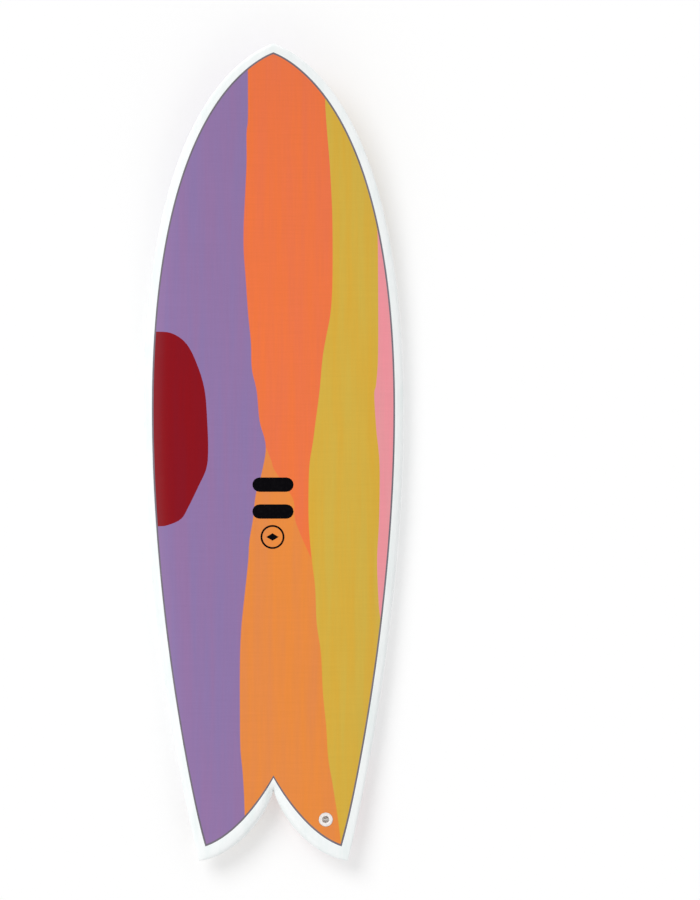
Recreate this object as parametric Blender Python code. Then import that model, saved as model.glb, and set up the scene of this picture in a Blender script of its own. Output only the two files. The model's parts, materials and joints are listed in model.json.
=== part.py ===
"""Swallow-tail twin-fin surfboard, built as the layers and fittings it is laid up from.

Metres throughout.  +Y points at the nose, +X to the rider's right, +Z out of the deck.
The board lies deck up: z = 0 is the lowest point of its curved bottom.
"""
import math

import bmesh
import bpy
from mathutils import Matrix, Vector

# Overall board
HALF_LENGTH = 0.851
THICKNESS = 0.067
THICKEST_Y = 0.050
NOSE_TIP_THICKNESS = 0.015
TAIL_TIP_THICKNESS = 0.016
NOSE_ROCKER = 0.115
TAIL_ROCKER = 0.045
FLAT_POINT_Y = -0.050
RAIL_APEX = 0.42            # height of the rail's widest line, as a share of the thickness
EDGE_ROUND = 0.018          # how far in the nose tip and the notch edge round over

# Plan shape: handles of the curves that a shaper's template follows, right-hand side
NOSE_RAIL = ((0.0, 0.851), (0.126, 0.803), (0.271, 0.606), (0.271, 0.090))
TAIL_RAIL = ((0.271, 0.090), (0.271, -0.293), (0.200, -0.673), (0.155, -0.851))
NOTCH_EDGE = ((0.0, -0.705), (0.016, -0.762), (0.080, -0.842), (0.155, -0.851))
NOTCH_ART = ((0.0, -0.678), (0.023, -0.720), (0.077, -0.799), (0.142, -0.821))

# Lay-up
LAMINATE = 0.0008           # glass and resin skin
GAP = 0.0003                # clearance between touching pieces
SHEET = 0.0005              # coloured cloth, lap strips and pinline under the skin
PINLINE = 0.0035
DECK_BAND = 0.0175          # white rail band seen from above
BOTTOM_BAND = 0.021
STRINGER = 0.005
SHEET_DEPTH = LAMINATE + GAP
FOAM_DEPTH = SHEET_DEPTH + SHEET + GAP

# Mesh density of the swept skin
NOSE_STEPS = 13
TAIL_STEPS = 11
RAIL_STEPS = NOSE_STEPS + TAIL_STEPS
NOTCH_STEPS = 5
BORDER = NOTCH_STEPS + RAIL_STEPS
RING_SHARES = (0.0, 0.045, 0.17, 0.38, 0.68)
RIM = len(RING_SHARES)      # rings of the rounded rim, before the pinline's own rings

# Fin boxes, measured from the flange's outer face
BOX_CENTRE = (0.169, -0.560)
BOX_TOE = math.radians(2.0)
BOX_LENGTH = 0.154
BOX_WIDTH = 0.030
BOX_FLANGE = 0.0025
BOX_BODY_INSET = 0.005
BOX_DEPTH = 0.0165
SLOT_LENGTH = 0.1134
SLOT_WIDTH = 0.0074
SLOT_DEPTH = 0.0130
SLOT_SHIFT = -0.0024
FOAM_BLOCK_DEPTH = 0.0205
SCREW_AHEAD = 0.0616
PINLINE_BREAK = -0.620      # the fin boxes interrupt the bottom pinline here
SCREW_RADIUS = 0.0024
SCREW_LENGTH = 0.008
SCREW_SEAT = 0.0022
SCREW_HOLE_DEPTH = 0.0130
SCREW_SOCKET = 0.0025

# Leash plug, measured down from the rim's outer face
PLUG_CENTRE = (0.109, -0.765)
PLUG_RIM_RADIUS = 0.0145
PLUG_BODY_RADIUS = 0.0115
PLUG_MOUTH_RADIUS = 0.0075
PLUG_RIM = 0.002
PLUG_DEPTH = 0.0145
PLUG_CAVITY = 0.0120
PLUG_FOAM_DEPTH = 0.0175
PIN_RADIUS = 0.002
PIN_LENGTH = 0.019
PIN_DEPTH = 0.0055

# Edges between the coloured cloth panels, listed from the tail to the nose, in millimetres
DECK_PURPLE_EDGE = (
    (-60, -900), (-60, -757), (-64, -671), (-69, -617), (-70, -544), (-70, -435), (-67, -364),
    (-60, -296), (-53, -229), (-50, -183), (-43, -141), (-37, -88), (-26, -49), (-16, 12),
    (-29, 66), (-35, 128), (-45, 174), (-47, 229), (-53, 291), (-58, 364), (-62, 419), (-62, 473),
    (-59, 536), (-56, 605), (-56, 665), (-53, 696), (-53, 791), (-53, 900))
DECK_MUSTARD_EDGE = (
    (146, -900), (141, -818), (137, -784), (133, -753), (123, -690), (114, -636), (110, -572),
    (103, -500), (99, -419), (90, -354), (87, -283), (80, -224), (74, -158), (73, -88), (75, -26),
    (82, 20), (88, 66), (96, 128), (102, 194), (109, 237), (119, 291), (123, 360), (123, 473),
    (121, 536), (117, 605), (112, 665), (108, 726), (100, 900))
DECK_CORAL_TIP = ((-16, 12), (-4, -18), (3, -38), (40, -95), (44, -135), (54, -165), (67, -195), (80, -224))
DECK_PINK_EDGE = (
    (232, -400), (226, -371), (222, -341), (219, -310), (216, -224), (220, -141), (221, -26), (214, 51),
    (210, 120), (214, 143), (218, 206), (218, 360), (216, 471), (206, 520))
DECK_CRIMSON_EDGE = (
    (-300, -154), (-242, -154), (-219, -151), (-192, -138), (-176, -111), (-157, -72), (-140, -34),
    (-136, 5), (-138, 67), (-143, 128), (-157, 178), (-180, 225), (-211, 248), (-248, 252), (-300, 252))
BOTTOM_PURPLE_EDGE = (
    (-136, -900), (-130, -807), (-124, -714), (-119, -636), (-113, -554), (-105, -474), (-101, -396),
    (-95, -336), (-90, -275), (-81, -198), (-74, -121), (-67, -31), (-62, 9), (-54, 67), (-51, 101),
    (-42, 170), (-32, 270), (-20, 368), (-9, 434), (1, 477), (11, 541), (22, 600), (37, 656), (49, 725),
    (63, 775), (90, 900))
BOTTOM_CORAL_EDGE = (
    (-50, -900), (-43, -724), (-35, -670), (-24, -618), (-15, -574), (-3, -522), (10, -474), (19, -413),
    (28, -355), (37, -315), (44, -256), (56, -190), (74, -110), (98, -30), (130, 45), (170, 110),
    (215, 165), (300, 230))
BOTTOM_PINK_EDGE = (
    (50, -900), (66, -762), (72, -726), (82, -691), (89, -656), (100, -618), (112, -560), (124, -490),
    (138, -420), (156, -350), (180, -285), (212, -225), (250, -180), (300, -150))
BOTTOM_CRIMSON_EDGE = (
    (-310, -340), (-255, -322), (-230, -308), (-209, -287), (-192, -256), (-182, -213), (-175, -167),
    (-173, -114), (-176, -79), (-183, -37), (-201, 1), (-229, 39), (-253, 67), (-310, 100))
BOTTOM_OVAL = (
    (-46, 105), (-70, 122), (-84, 157), (-92, 205), (-90, 253), (-82, 303), (-61, 341), (-28, 370),
    (-4, 358), (8, 330), (13, 284), (11, 232), (6, 192), (-1, 157), (-18, 126))
PANEL_TOP = 0.25
PANEL_FLOOR = -0.05

# Colour, roughness, metallic
MATERIALS = {
    "clear_laminate": ((0.90, 0.95, 0.94), 0.12, 0.0),
    "white_lap": ((0.86, 0.91, 0.91), 0.35, 0.0),
    "pinline_resin": ((0.08, 0.07, 0.08), 0.35, 0.0),
    "purple_cloth": ((0.28, 0.18, 0.38), 0.45, 0.0),
    "crimson_cloth": ((0.26, 0.01, 0.02), 0.45, 0.0),
    "coral_cloth": ((0.82, 0.18, 0.06), 0.45, 0.0),
    "orange_cloth": ((0.80, 0.25, 0.06), 0.45, 0.0),
    "mustard_cloth": ((0.65, 0.42, 0.05), 0.45, 0.0),
    "pink_cloth": ((0.87, 0.30, 0.34), 0.45, 0.0),
    "foam": ((0.88, 0.88, 0.84), 0.9, 0.0),
    "dense_foam": ((0.75, 0.70, 0.55), 0.85, 0.0),
    "stringer_wood": ((0.50, 0.32, 0.16), 0.7, 0.0),
    "box_plastic": ((0.80, 0.76, 0.80), 0.4, 0.0),
    "stainless_steel": ((0.55, 0.55, 0.57), 0.3, 1.0),
}


# ---------------------------------------------------------------- shape of the board

def curve_point(handles, t):
    """Point at t (0 to 1) on a four-handle curve."""
    weights = ((1 - t) ** 3, 3 * t * (1 - t) ** 2, 3 * t * t * (1 - t), t ** 3)
    x = sum(w * h[0] for w, h in zip(weights, handles))
    y = sum(w * h[1] for w, h in zip(weights, handles))
    return Vector((x, y))


def rail_point(step):
    """Outline point of the right rail; step 0 is the tail tip, RAIL_STEPS the nose tip."""
    if step <= TAIL_STEPS:
        return curve_point(TAIL_RAIL, 1 - step / TAIL_STEPS)
    return curve_point(NOSE_RAIL, 1 - (step - TAIL_STEPS) / NOSE_STEPS)


def dense_rail():
    """Finely sampled right rail, tail to nose, used to read the half width at any y."""
    tail = [curve_point(TAIL_RAIL, 1 - i / 200) for i in range(200)]
    nose = [curve_point(NOSE_RAIL, 1 - i / 200) for i in range(201)]
    return tail + nose


DENSE_RAIL = dense_rail()
DENSE_NOTCH = [curve_point(NOTCH_EDGE, i / 80) for i in range(81)]


def half_width(y):
    """Half width of the plan shape at y."""
    if y <= DENSE_RAIL[0].y:
        return DENSE_RAIL[0].x
    for low, high in zip(DENSE_RAIL, DENSE_RAIL[1:]):
        if y <= high.y:
            share = (y - low.y) / max(high.y - low.y, 1e-9)
            return low.x + share * (high.x - low.x)
    return 0.0


def rocker(y):
    """Height of the bottom's centreline above the floor."""
    if y > FLAT_POINT_Y:
        return NOSE_ROCKER * ((y - FLAT_POINT_Y) / (HALF_LENGTH - FLAT_POINT_Y)) ** 2.6
    return TAIL_ROCKER * ((FLAT_POINT_Y - y) / (HALF_LENGTH + FLAT_POINT_Y)) ** 2.2


def foil(y):
    """Thickness of the board along its centreline."""
    if y > THICKEST_Y:
        share = (y - THICKEST_Y) / (HALF_LENGTH - THICKEST_Y)
        return NOSE_TIP_THICKNESS + (THICKNESS - NOSE_TIP_THICKNESS) * max(0, 1 - share ** 2) ** 1.4
    share = (THICKEST_Y - y) / (HALF_LENGTH + THICKEST_Y)
    return TAIL_TIP_THICKNESS + (THICKNESS - TAIL_TIP_THICKNESS) * max(0, 1 - share ** 2.2) ** 1.04


def edge_rounding(x, y):
    """1 inside the board, falling to 0 at the notch edge and at the nose tip."""
    spot = Vector((abs(x), y))
    reach = HALF_LENGTH - y
    if y < -0.6:
        reach = min((spot - point).length for point in DENSE_NOTCH)
    share = min(1.0, max(0.0, reach / EDGE_ROUND))
    return math.sqrt(max(0.0, 1 - (1 - share) ** 2))


def crown(x, y, sharpness, power):
    """1 on the centreline, falling to 0 at the rail."""
    width = half_width(y)
    share = min(1.0, abs(x) / width) if width > 1e-6 else 1.0
    return max(0.0, 1 - share ** sharpness) ** (1 / power)


def fullness(x, y, sharpness, power):
    """Crown and edge rounding together; full corners where the notch meets the rail."""
    across = max(1e-6, crown(x, y, sharpness, power))
    along = max(1e-6, edge_rounding(x, y))
    return (across ** -2 + along ** -2 - 1) ** -0.5


def apex_height(y):
    """Height of the rail's widest line."""
    return rocker(y) + RAIL_APEX * foil(y)


def deck_height(x, y):
    """Height of the domed deck."""
    return apex_height(y) + (1 - RAIL_APEX) * foil(y) * fullness(x, y, 2.5, 2.6)


def bottom_height(x, y):
    """Height of the flat bottom; its edge turns harder towards the tail."""
    hardness = 12 + 14 * min(1.0, max(0.0, (0.2 - y) / 0.7))
    return apex_height(y) - RAIL_APEX * foil(y) * fullness(x, y, hardness, 2.2)


# ---------------------------------------------------------------- the swept skin

def outline_point(border):
    """Right-hand outline: the notch from crotch to tail tip, then the rail to the nose."""
    if border <= NOTCH_STEPS:
        return curve_point(NOTCH_EDGE, border / NOTCH_STEPS)
    return rail_point(border - NOTCH_STEPS)


def art_point(border, band):
    """Outer edge of the pinline beside an outline point."""
    tip = curve_point(NOTCH_ART, 1.0)
    if border <= NOTCH_STEPS:
        return curve_point(NOTCH_ART, border / NOTCH_STEPS)
    step = border - NOTCH_STEPS
    ahead = rail_point(min(RAIL_STEPS, step + 0.05))
    behind = rail_point(max(0, step - 0.05))
    tangent = (ahead - behind).normalized()
    inward = Vector((-tangent.y, tangent.x))
    point = rail_point(step) + inward * band
    tail_share = max(0.0, 1 - step / 3) ** 2
    nose_share = max(0.0, 1 - (RAIL_STEPS - step) / 3) ** 2
    if tail_share > 0:
        start = rail_point(0.05) - rail_point(0)
        start.normalize()
        corner = rail_point(0) + Vector((-start.y, start.x)) * band
        point += (tip - corner) * tail_share
    if nose_share > 0:
        end = rail_point(RAIL_STEPS) - rail_point(RAIL_STEPS - 0.05)
        end.normalize()
        corner = rail_point(RAIL_STEPS) + Vector((-end.y, end.x)) * band
        point -= end * (corner.x / end.x) * nose_share
    return point


class Skin:
    """Numbered points of the whole outer surface, with the inward way at each of them."""

    def __init__(self):
        """Lay out the rings and patches of both faces, on both sides of the centreline."""
        self.points = []
        self.inward = []
        self.rings = {}
        self.patches = {}
        for face, height, band in (("deck", deck_height, DECK_BAND), ("bottom", bottom_height, BOTTOM_BAND)):
            self.lay_face(face, height, band)
        self.measure_inward()

    def add(self, point):
        """Store a point and return its number."""
        self.points.append(Vector(point))
        return len(self.points) - 1

    def mirrored(self, number):
        """Number of the same point on the left; centreline points are shared."""
        point = self.points[number]
        if abs(point.x) < 1e-7:
            return number
        return self.add((-point.x, point.y, point.z))

    def lay_face(self, face, height, band):
        """Rings of the rim, the pinline's rings and the patch inside them."""
        rings = [self.rim_ring(face, height, band, share) for share in RING_SHARES]
        rings += self.pinline_rings(height, band, rings[-1])
        patch = self.inner_patch(height, rings[-1])
        self.rings[face, 1] = rings
        self.patches[face, 1] = patch
        if face == "deck":
            self.apex_left = [self.mirrored(number) for number in rings[0]]
        left = [self.apex_left] + [[self.mirrored(number) for number in ring] for ring in rings[1:]]
        left_patch = [[self.mirrored(number) for number in row] for row in patch]
        left_patch[0] = left[-1][:NOTCH_STEPS + 1]
        for row in range(RAIL_STEPS + 1):
            left_patch[row][-1] = left[-1][NOTCH_STEPS + row]
        left_patch[-1] = [left[-1][BORDER]] * (NOTCH_STEPS + 1)
        self.rings[face, -1] = left
        self.patches[face, -1] = left_patch

    def rim_ring(self, face, height, band, share):
        """One ring of the rounded rim; share 0 is the rail's widest line."""
        if share == 0.0 and face == "bottom":
            return self.rings["deck", 1][0]
        numbers = []
        for border in range(BORDER + 1):
            edge = outline_point(border)
            spot = edge.lerp(art_point(border, band), share)
            z = apex_height(edge.y) if share == 0.0 else height(spot.x, spot.y)
            numbers.append(self.add((spot.x, spot.y, z)))
        return numbers

    def pinline_rings(self, height, band, outside):
        """Lap edge, both pinline edges and the cloth's edge, on one straight facet."""
        rings = [[], [], [], []]
        for border in range(BORDER + 1):
            edge = outline_point(border)
            line = art_point(border, band)
            inward = (line - edge).normalized()
            scale = max(0.9, min(1.5, (line - edge).length / band))
            cloth = line + inward * (PINLINE + GAP) * scale
            end = Vector((cloth.x, cloth.y, height(cloth.x, cloth.y)))
            start = self.points[outside[border]]
            run = (cloth - start.xy).length
            for ring, back in zip(rings, (PINLINE + 2 * GAP, PINLINE + GAP, GAP, 0.0)):
                share = 1 - back * scale / run
                ring.append(self.add(start.lerp(end, share)))
        return rings

    def inner_patch(self, height, border_ring):
        """Rows of points from the centreline out to the cloth's edge, tail to nose."""
        edge = [self.points[number] for number in border_ring]
        crotch, tip, nose = edge[0], edge[NOTCH_STEPS], edge[BORDER]
        rows = [border_ring[:NOTCH_STEPS + 1]]
        for row in range(1, RAIL_STEPS):
            side = edge[NOTCH_STEPS + row]
            swing = max(0.0, min(1.0, (-0.15 - side.y) / (-0.15 - tip.y)))
            swing = swing * swing * (3 - 2 * swing)
            middle = side.y + (crotch.y - tip.y) * swing
            numbers = []
            for column in range(NOTCH_STEPS):
                share = column / NOTCH_STEPS
                x = side.x * share
                y = middle + (side.y - middle) * share
                bulge = edge[column].xy - crotch.xy.lerp(tip.xy, share)
                x += bulge.x * swing if column else 0.0
                y += bulge.y * swing
                numbers.append(self.add((x, y, height(x, y))))
            rows.append(numbers + [border_ring[NOTCH_STEPS + row]])
        rows.append([border_ring[BORDER]] * (NOTCH_STEPS + 1))
        return rows

    def ring_faces(self, face, side, first, last, borders):
        """Triangles of the strips between rings first..last along some outline steps."""
        faces = []
        rings = self.rings[face, side]
        steps = [index for index in range(first, last + 1) if index <= RIM - 1 or last < RIM + 3]
        if last == RIM + 3:
            steps = [index for index in range(first, RIM)] + [last]
        for outer, inner in zip(steps, steps[1:]):
            for border in borders:
                corners = (rings[outer][border], rings[outer][border + 1],
                           rings[inner][border + 1], rings[inner][border])
                faces += split(corners)
        return faces

    def patch_faces(self, face, side):
        """Triangles of the patch inside the pinline."""
        faces = []
        patch = self.patches[face, side]
        for low, high in zip(patch, patch[1:]):
            for column in range(NOTCH_STEPS):
                faces += split((low[column], low[column + 1], high[column + 1], high[column]))
        return faces

    def face_of_board(self, face):
        """All triangles of the deck or of the bottom, from rail to rail."""
        faces = []
        for side in (1, -1):
            faces += self.ring_faces(face, side, 0, RIM + 3, range(BORDER))
            faces += self.patch_faces(face, side)
        return faces

    def measure_inward(self):
        """Way in at each point, long enough to give an even offset at corners."""
        self.inward = [None] * len(self.points)
        faces = self.face_of_board("deck") + self.face_of_board("bottom")
        mesh = bmesh.new()
        verts = {}
        for triangle in faces:
            corners = []
            for number in triangle:
                if number not in verts:
                    verts[number] = mesh.verts.new(self.points[number])
                corners.append(verts[number])
            mesh.faces.new(corners)
        bmesh.ops.recalc_face_normals(mesh, faces=mesh.faces)
        mesh.normal_update()
        for number, vert in verts.items():
            self.inward[number] = -vert.normal * min(2.2, vert.calc_shell_factor())
        mesh.free()
        self.fill_pinline_inward()

    def fill_pinline_inward(self):
        """The pinline's own rings take the way in of the facet they lie on."""
        for rings in self.rings.values():
            for border in range(BORDER + 1):
                start, end = rings[RIM - 1][border], rings[RIM + 3][border]
                span = (self.points[end] - self.points[start]).length
                for ring in rings[RIM:RIM + 3]:
                    share = (self.points[ring[border]] - self.points[start]).length / span
                    self.inward[ring[border]] = self.inward[start].lerp(self.inward[end], share)

    def border_points(self, side, border):
        """Numbers of every ring's point at one step of the outline."""
        return [ring[border] for face in ("deck", "bottom") for ring in self.rings[face, side]]

    def apex_points(self):
        """Numbers of the points on the rail's widest line."""
        return self.rings["deck", 1][0] + self.rings["deck", -1][0]

    def at(self, number, depth):
        """The point at a depth under the outer surface."""
        return self.points[number] + self.inward[number] * depth


def split(corners):
    """Two triangles of a quad, or one or none where corners coincide."""
    a, b, c, d = corners
    triangles = [(a, b, c), (a, c, d)]
    return [triangle for triangle in triangles if len(set(triangle)) == 3]


# ---------------------------------------------------------------- making objects

def clear_scene():
    """Remove whatever the scene starts with."""
    for item in list(bpy.data.objects):
        bpy.data.objects.remove(item, do_unlink=True)


def make_material(name):
    """Plain Principled material from the table."""
    if name in bpy.data.materials:
        return bpy.data.materials[name]
    colour, roughness, metallic = MATERIALS[name]
    material = bpy.data.materials.new(name)
    material.use_nodes = True
    shader = material.node_tree.nodes["Principled BSDF"]
    shader.inputs["Base Color"].default_value = (*colour, 1.0)
    shader.inputs["Roughness"].default_value = roughness
    shader.inputs["Metallic"].default_value = metallic
    material.diffuse_color = (*colour, 1.0)
    return material


def make_object(name, mesh, material=None):
    """Turn a bmesh into a scene object."""
    bmesh.ops.recalc_face_normals(mesh, faces=mesh.faces)
    data = bpy.data.meshes.new(name)
    mesh.to_mesh(data)
    mesh.free()
    item = bpy.data.objects.new(name, data)
    bpy.context.scene.collection.objects.link(item)
    if material:
        data.materials.append(make_material(material))
    return item


def shell(name, skin, faces, outer, inner, material, moves=()):
    """Closed sheet between two depths under the outer surface.

    Each move is (point numbers, offset): it draws one edge of the sheet back from its neighbour.
    """
    mesh = bmesh.new()
    tops, floors = {}, {}
    counts = {}
    offsets = {number: Vector(offset) for numbers, offset in moves for number in numbers}
    for triangle in faces:
        for number in triangle:
            if number not in tops:
                offset = offsets.get(number, Vector())
                tops[number] = mesh.verts.new(skin.at(number, outer) + offset)
                floors[number] = mesh.verts.new(skin.at(number, inner) + offset)
        mesh.faces.new([tops[number] for number in triangle])
        mesh.faces.new([floors[number] for number in reversed(triangle)])
        for start, end in zip(triangle, triangle[1:] + triangle[:1]):
            key = (min(start, end), max(start, end))
            counts.setdefault(key, []).append((start, end))
    for uses in counts.values():
        if len(uses) == 1:
            start, end = uses[0]
            mesh.faces.new((tops[end], tops[start], floors[start], floors[end]))
    return make_object(name, mesh, material)


def solid(name, skin, depth, material):
    """The whole board as one closed body at a depth under the outer surface."""
    mesh = bmesh.new()
    verts = {}
    for triangle in skin.face_of_board("deck") + skin.face_of_board("bottom"):
        for number in triangle:
            if number not in verts:
                verts[number] = mesh.verts.new(skin.at(number, depth))
        mesh.faces.new([verts[number] for number in triangle])
    return make_object(name, mesh, material)


def prism(name, outline, low, high):
    """Upright closed prism over a plan outline."""
    mesh = bmesh.new()
    floor = [mesh.verts.new((x, y, low)) for x, y in outline]
    top = [mesh.verts.new((x, y, high)) for x, y in outline]
    mesh.faces.new(floor)
    mesh.faces.new(list(reversed(top)))
    count = len(outline)
    for index in range(count):
        after = (index + 1) % count
        mesh.faces.new((floor[index], floor[after], top[after], top[index]))
    return make_object(name, mesh)


def stack(name, loops, material=None):
    """Closed body through loops of equal length, capped at both ends."""
    mesh = bmesh.new()
    rows = [[mesh.verts.new(point) for point in loop] for loop in loops]
    for low, high in zip(rows, rows[1:]):
        for index in range(len(low)):
            after = (index + 1) % len(low)
            mesh.faces.new((low[index], low[after], high[after], high[index]))
    mesh.faces.new(rows[0])
    mesh.faces.new(list(reversed(rows[-1])))
    return make_object(name, mesh, material)


def copy_of(item, name, material):
    """Separate copy of an object with its own mesh and material."""
    data = item.data.copy()
    data.materials.clear()
    data.materials.append(make_material(material))
    twin = bpy.data.objects.new(name, data)
    twin.matrix_world = item.matrix_world.copy()
    bpy.context.scene.collection.objects.link(twin)
    return twin


def boolean(item, cutter, operation):
    """Apply one exact Boolean to an object."""
    modifier = item.modifiers.new(operation.lower(), "BOOLEAN")
    modifier.operation = operation
    modifier.solver = "EXACT"
    modifier.object = cutter
    bpy.context.view_layer.update()
    result = bpy.data.meshes.new_from_object(item.evaluated_get(bpy.context.evaluated_depsgraph_get()))
    item.modifiers.clear()
    item.data = result


def remove(*items):
    """Delete guides once they have cut what they cut."""
    for item in items:
        bpy.data.objects.remove(item, do_unlink=True)


def smooth(item, angle=35):
    """Shade round surfaces smooth and leave real edges sharp."""
    item.data.shade_auto_smooth(use_auto_smooth=True, angle=math.radians(angle)) if hasattr(
        item.data, "shade_auto_smooth") else smooth_by_edges(item, angle)


def smooth_by_edges(item, angle):
    """Smooth faces with the sharp edges marked by angle."""
    mesh = bmesh.new()
    mesh.from_mesh(item.data)
    for edge in mesh.edges:
        flat = len(edge.link_faces) == 2 and edge.calc_face_angle(0.0) < math.radians(angle)
        edge.smooth = flat
    for face in mesh.faces:
        face.smooth = True
    mesh.to_mesh(item.data)
    mesh.free()


# ---------------------------------------------------------------- coloured panels

def curve_through(points, steps=2, closed=False):
    """Smooth line through plan points given in millimetres, returned in metres."""
    count = len(points)
    last = count if closed else count - 1
    result = []
    for index in range(last):
        if closed:
            a, b, c, d = (Vector(points[(index + shift) % count]) for shift in (-1, 0, 1, 2))
        else:
            a, b, c, d = (Vector(points[min(count - 1, max(0, index + shift))]) for shift in (-1, 0, 1, 2))
        for part in range(steps):
            t = part / steps
            value = b * 2 + (c - a) * t + (a * 2 - b * 5 + c * 4 - d) * t * t
            value += (b * 3 - a - c * 3 + d) * t * t * t
            result.append(value * 0.0005)
    if not closed:
        result.append(Vector(points[-1]) * 0.001)
    return result


def shifted(line, amount, closed=False):
    """The same line moved sideways, to its left when amount is positive."""
    result = []
    count = len(line)
    for index, point in enumerate(line):
        if closed:
            way = line[(index + 1) % count] - line[index - 1]
        else:
            way = line[min(count - 1, index + 1)] - line[max(0, index - 1)]
        way.normalize()
        result.append(point + Vector((-way.y, way.x)) * amount)
    return result


def beside(line, far_x):
    """Closed outline of everything between a tail-to-nose line and a far side."""
    return line + [Vector((far_x, line[-1].y)), Vector((far_x, line[0].y))]


def panel(sheet, name, material, inside, outside=()):
    """One colour panel: the part of a cloth sheet inside some outlines and outside others."""
    item = copy_of(sheet, name, material)
    for outline in inside:
        guide = prism("guide", outline, PANEL_FLOOR, PANEL_TOP)
        boolean(item, guide, "INTERSECT")
        remove(guide)
    for outline in outside:
        guide = prism("guide", outline, PANEL_FLOOR, PANEL_TOP)
        boolean(item, guide, "DIFFERENCE")
        remove(guide)
    item.data.materials.clear()
    item.data.materials.append(make_material(material))
    return item


def deck_panels(skin):
    """Six cloth panels of the deck."""
    faces = skin.patch_faces("deck", 1) + skin.patch_faces("deck", -1)
    sheet = shell("deck_sheet", skin, faces, SHEET_DEPTH, SHEET_DEPTH + SHEET, "purple_cloth")
    half = GAP / 2
    purple = curve_through(DECK_PURPLE_EDGE)
    mustard = curve_through(DECK_MUSTARD_EDGE)
    tip = curve_through(DECK_CORAL_TIP)
    pink = curve_through(DECK_PINK_EDGE)
    crimson = curve_through(DECK_CRIMSON_EDGE)
    far = 0.4
    behind_tip = [Vector((-far, -1.0))] + [Vector((-far, 0.03))]
    behind_tip += [Vector((-0.03, 0.03))] + shifted(tip, -half) + [Vector((far, -0.225)), Vector((far, -1.0))]
    ahead_of_tip = [Vector((-far, 1.0)), Vector((-far, 0.0303)), Vector((-0.03, 0.0303))]
    ahead_of_tip += shifted(tip, half) + [Vector((far, -0.2247)), Vector((far, 1.0))]
    right_of_purple = beside(shifted(purple, -half), far)
    left_of_mustard = beside(shifted(mustard, half), -far)
    panels = [
        panel(sheet, "deck_panel_purple", "purple_cloth", [beside(shifted(purple, half), -far)],
              [beside(shifted(crimson, -half), -far)]),
        panel(sheet, "deck_panel_crimson", "crimson_cloth", [beside(shifted(crimson, half), -far)]),
        panel(sheet, "deck_panel_coral", "coral_cloth", [right_of_purple, left_of_mustard, ahead_of_tip]),
        panel(sheet, "deck_panel_orange", "orange_cloth", [right_of_purple, left_of_mustard, behind_tip]),
        panel(sheet, "deck_panel_mustard", "mustard_cloth", [beside(shifted(mustard, -half), far)],
              [beside(shifted(pink, half), far)]),
        panel(sheet, "deck_panel_pink", "pink_cloth", [beside(shifted(pink, -half), far)]),
    ]
    remove(sheet)
    return panels


def bottom_panels(skin):
    """Six cloth panels of the bottom."""
    faces = skin.patch_faces("bottom", 1) + skin.patch_faces("bottom", -1)
    sheet = shell("bottom_sheet", skin, faces, SHEET_DEPTH, SHEET_DEPTH + SHEET, "purple_cloth")
    half = GAP / 2
    purple = curve_through(BOTTOM_PURPLE_EDGE)
    coral = curve_through(BOTTOM_CORAL_EDGE)
    pink = curve_through(BOTTOM_PINK_EDGE)
    crimson = curve_through(BOTTOM_CRIMSON_EDGE)
    oval = curve_through(BOTTOM_OVAL, closed=True)
    far = 0.4
    around_oval = shifted(oval, half, closed=True)
    behind_coral = shifted(coral, -half) + [Vector((far, -0.9))]
    ahead_of_coral = shifted(coral, half) + [Vector((far, 0.9)), Vector((-far, 0.9)), Vector((-far, -0.9))]
    behind_pink = shifted(pink, -half) + [Vector((far, -0.9))]
    panels = [
        panel(sheet, "bottom_panel_purple", "purple_cloth", [beside(shifted(purple, half), -far)],
              [beside(shifted(crimson, -half), -far), around_oval]),
        panel(sheet, "bottom_panel_crimson", "crimson_cloth", [beside(shifted(crimson, half), -far)]),
        panel(sheet, "bottom_panel_mustard", "mustard_cloth",
              [beside(shifted(purple, -half), far), ahead_of_coral], [around_oval]),
        panel(sheet, "bottom_panel_orange", "orange_cloth", [shifted(oval, -half, closed=True)]),
        panel(sheet, "bottom_panel_coral", "coral_cloth", [behind_coral],
              [shifted(pink, half) + [Vector((far, -0.9))]]),
        panel(sheet, "bottom_panel_pink", "pink_cloth", [behind_pink]),
    ]
    remove(sheet)
    return panels


# ---------------------------------------------------------------- laps, pinlines, core

def lap_faces(skin, side, borders):
    """Strips that wrap the rim from the deck's pinline round to the bottom's."""
    faces = skin.ring_faces("deck", side, 0, RIM, borders)
    return faces + skin.ring_faces("bottom", side, 0, RIM, borders)


def lap_strips(skin):
    """White laps along both rails and round the swallow tail."""
    rails = range(NOTCH_STEPS + 1, BORDER)
    notch = range(NOTCH_STEPS + 1)
    depths = (SHEET_DEPTH, SHEET_DEPTH + SHEET)
    strips = []
    for side, label in ((1, "right"), (-1, "left")):
        moves = [(skin.border_points(side, BORDER), (side * GAP / 2, 0.0, 0.0))]
        faces = lap_faces(skin, side, rails)
        strips.append(shell("rail_lap_" + label, skin, faces, *depths, "white_lap", moves))
    both = lap_faces(skin, 1, notch) + lap_faces(skin, -1, notch)
    ends = skin.border_points(1, NOTCH_STEPS + 1) + skin.border_points(-1, NOTCH_STEPS + 1)
    back = [(ends, (0.0, -1.5 * GAP, 0.0))]
    strips.append(shell("tail_lap", skin, both, *depths, "white_lap", back))
    return strips


def seam_box(name, low, high):
    """Closed box between two corners."""
    outline = [(low[0], low[1]), (high[0], low[1]), (high[0], high[1]), (low[0], high[1])]
    return prism(name, outline, low[2], high[2])


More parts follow.
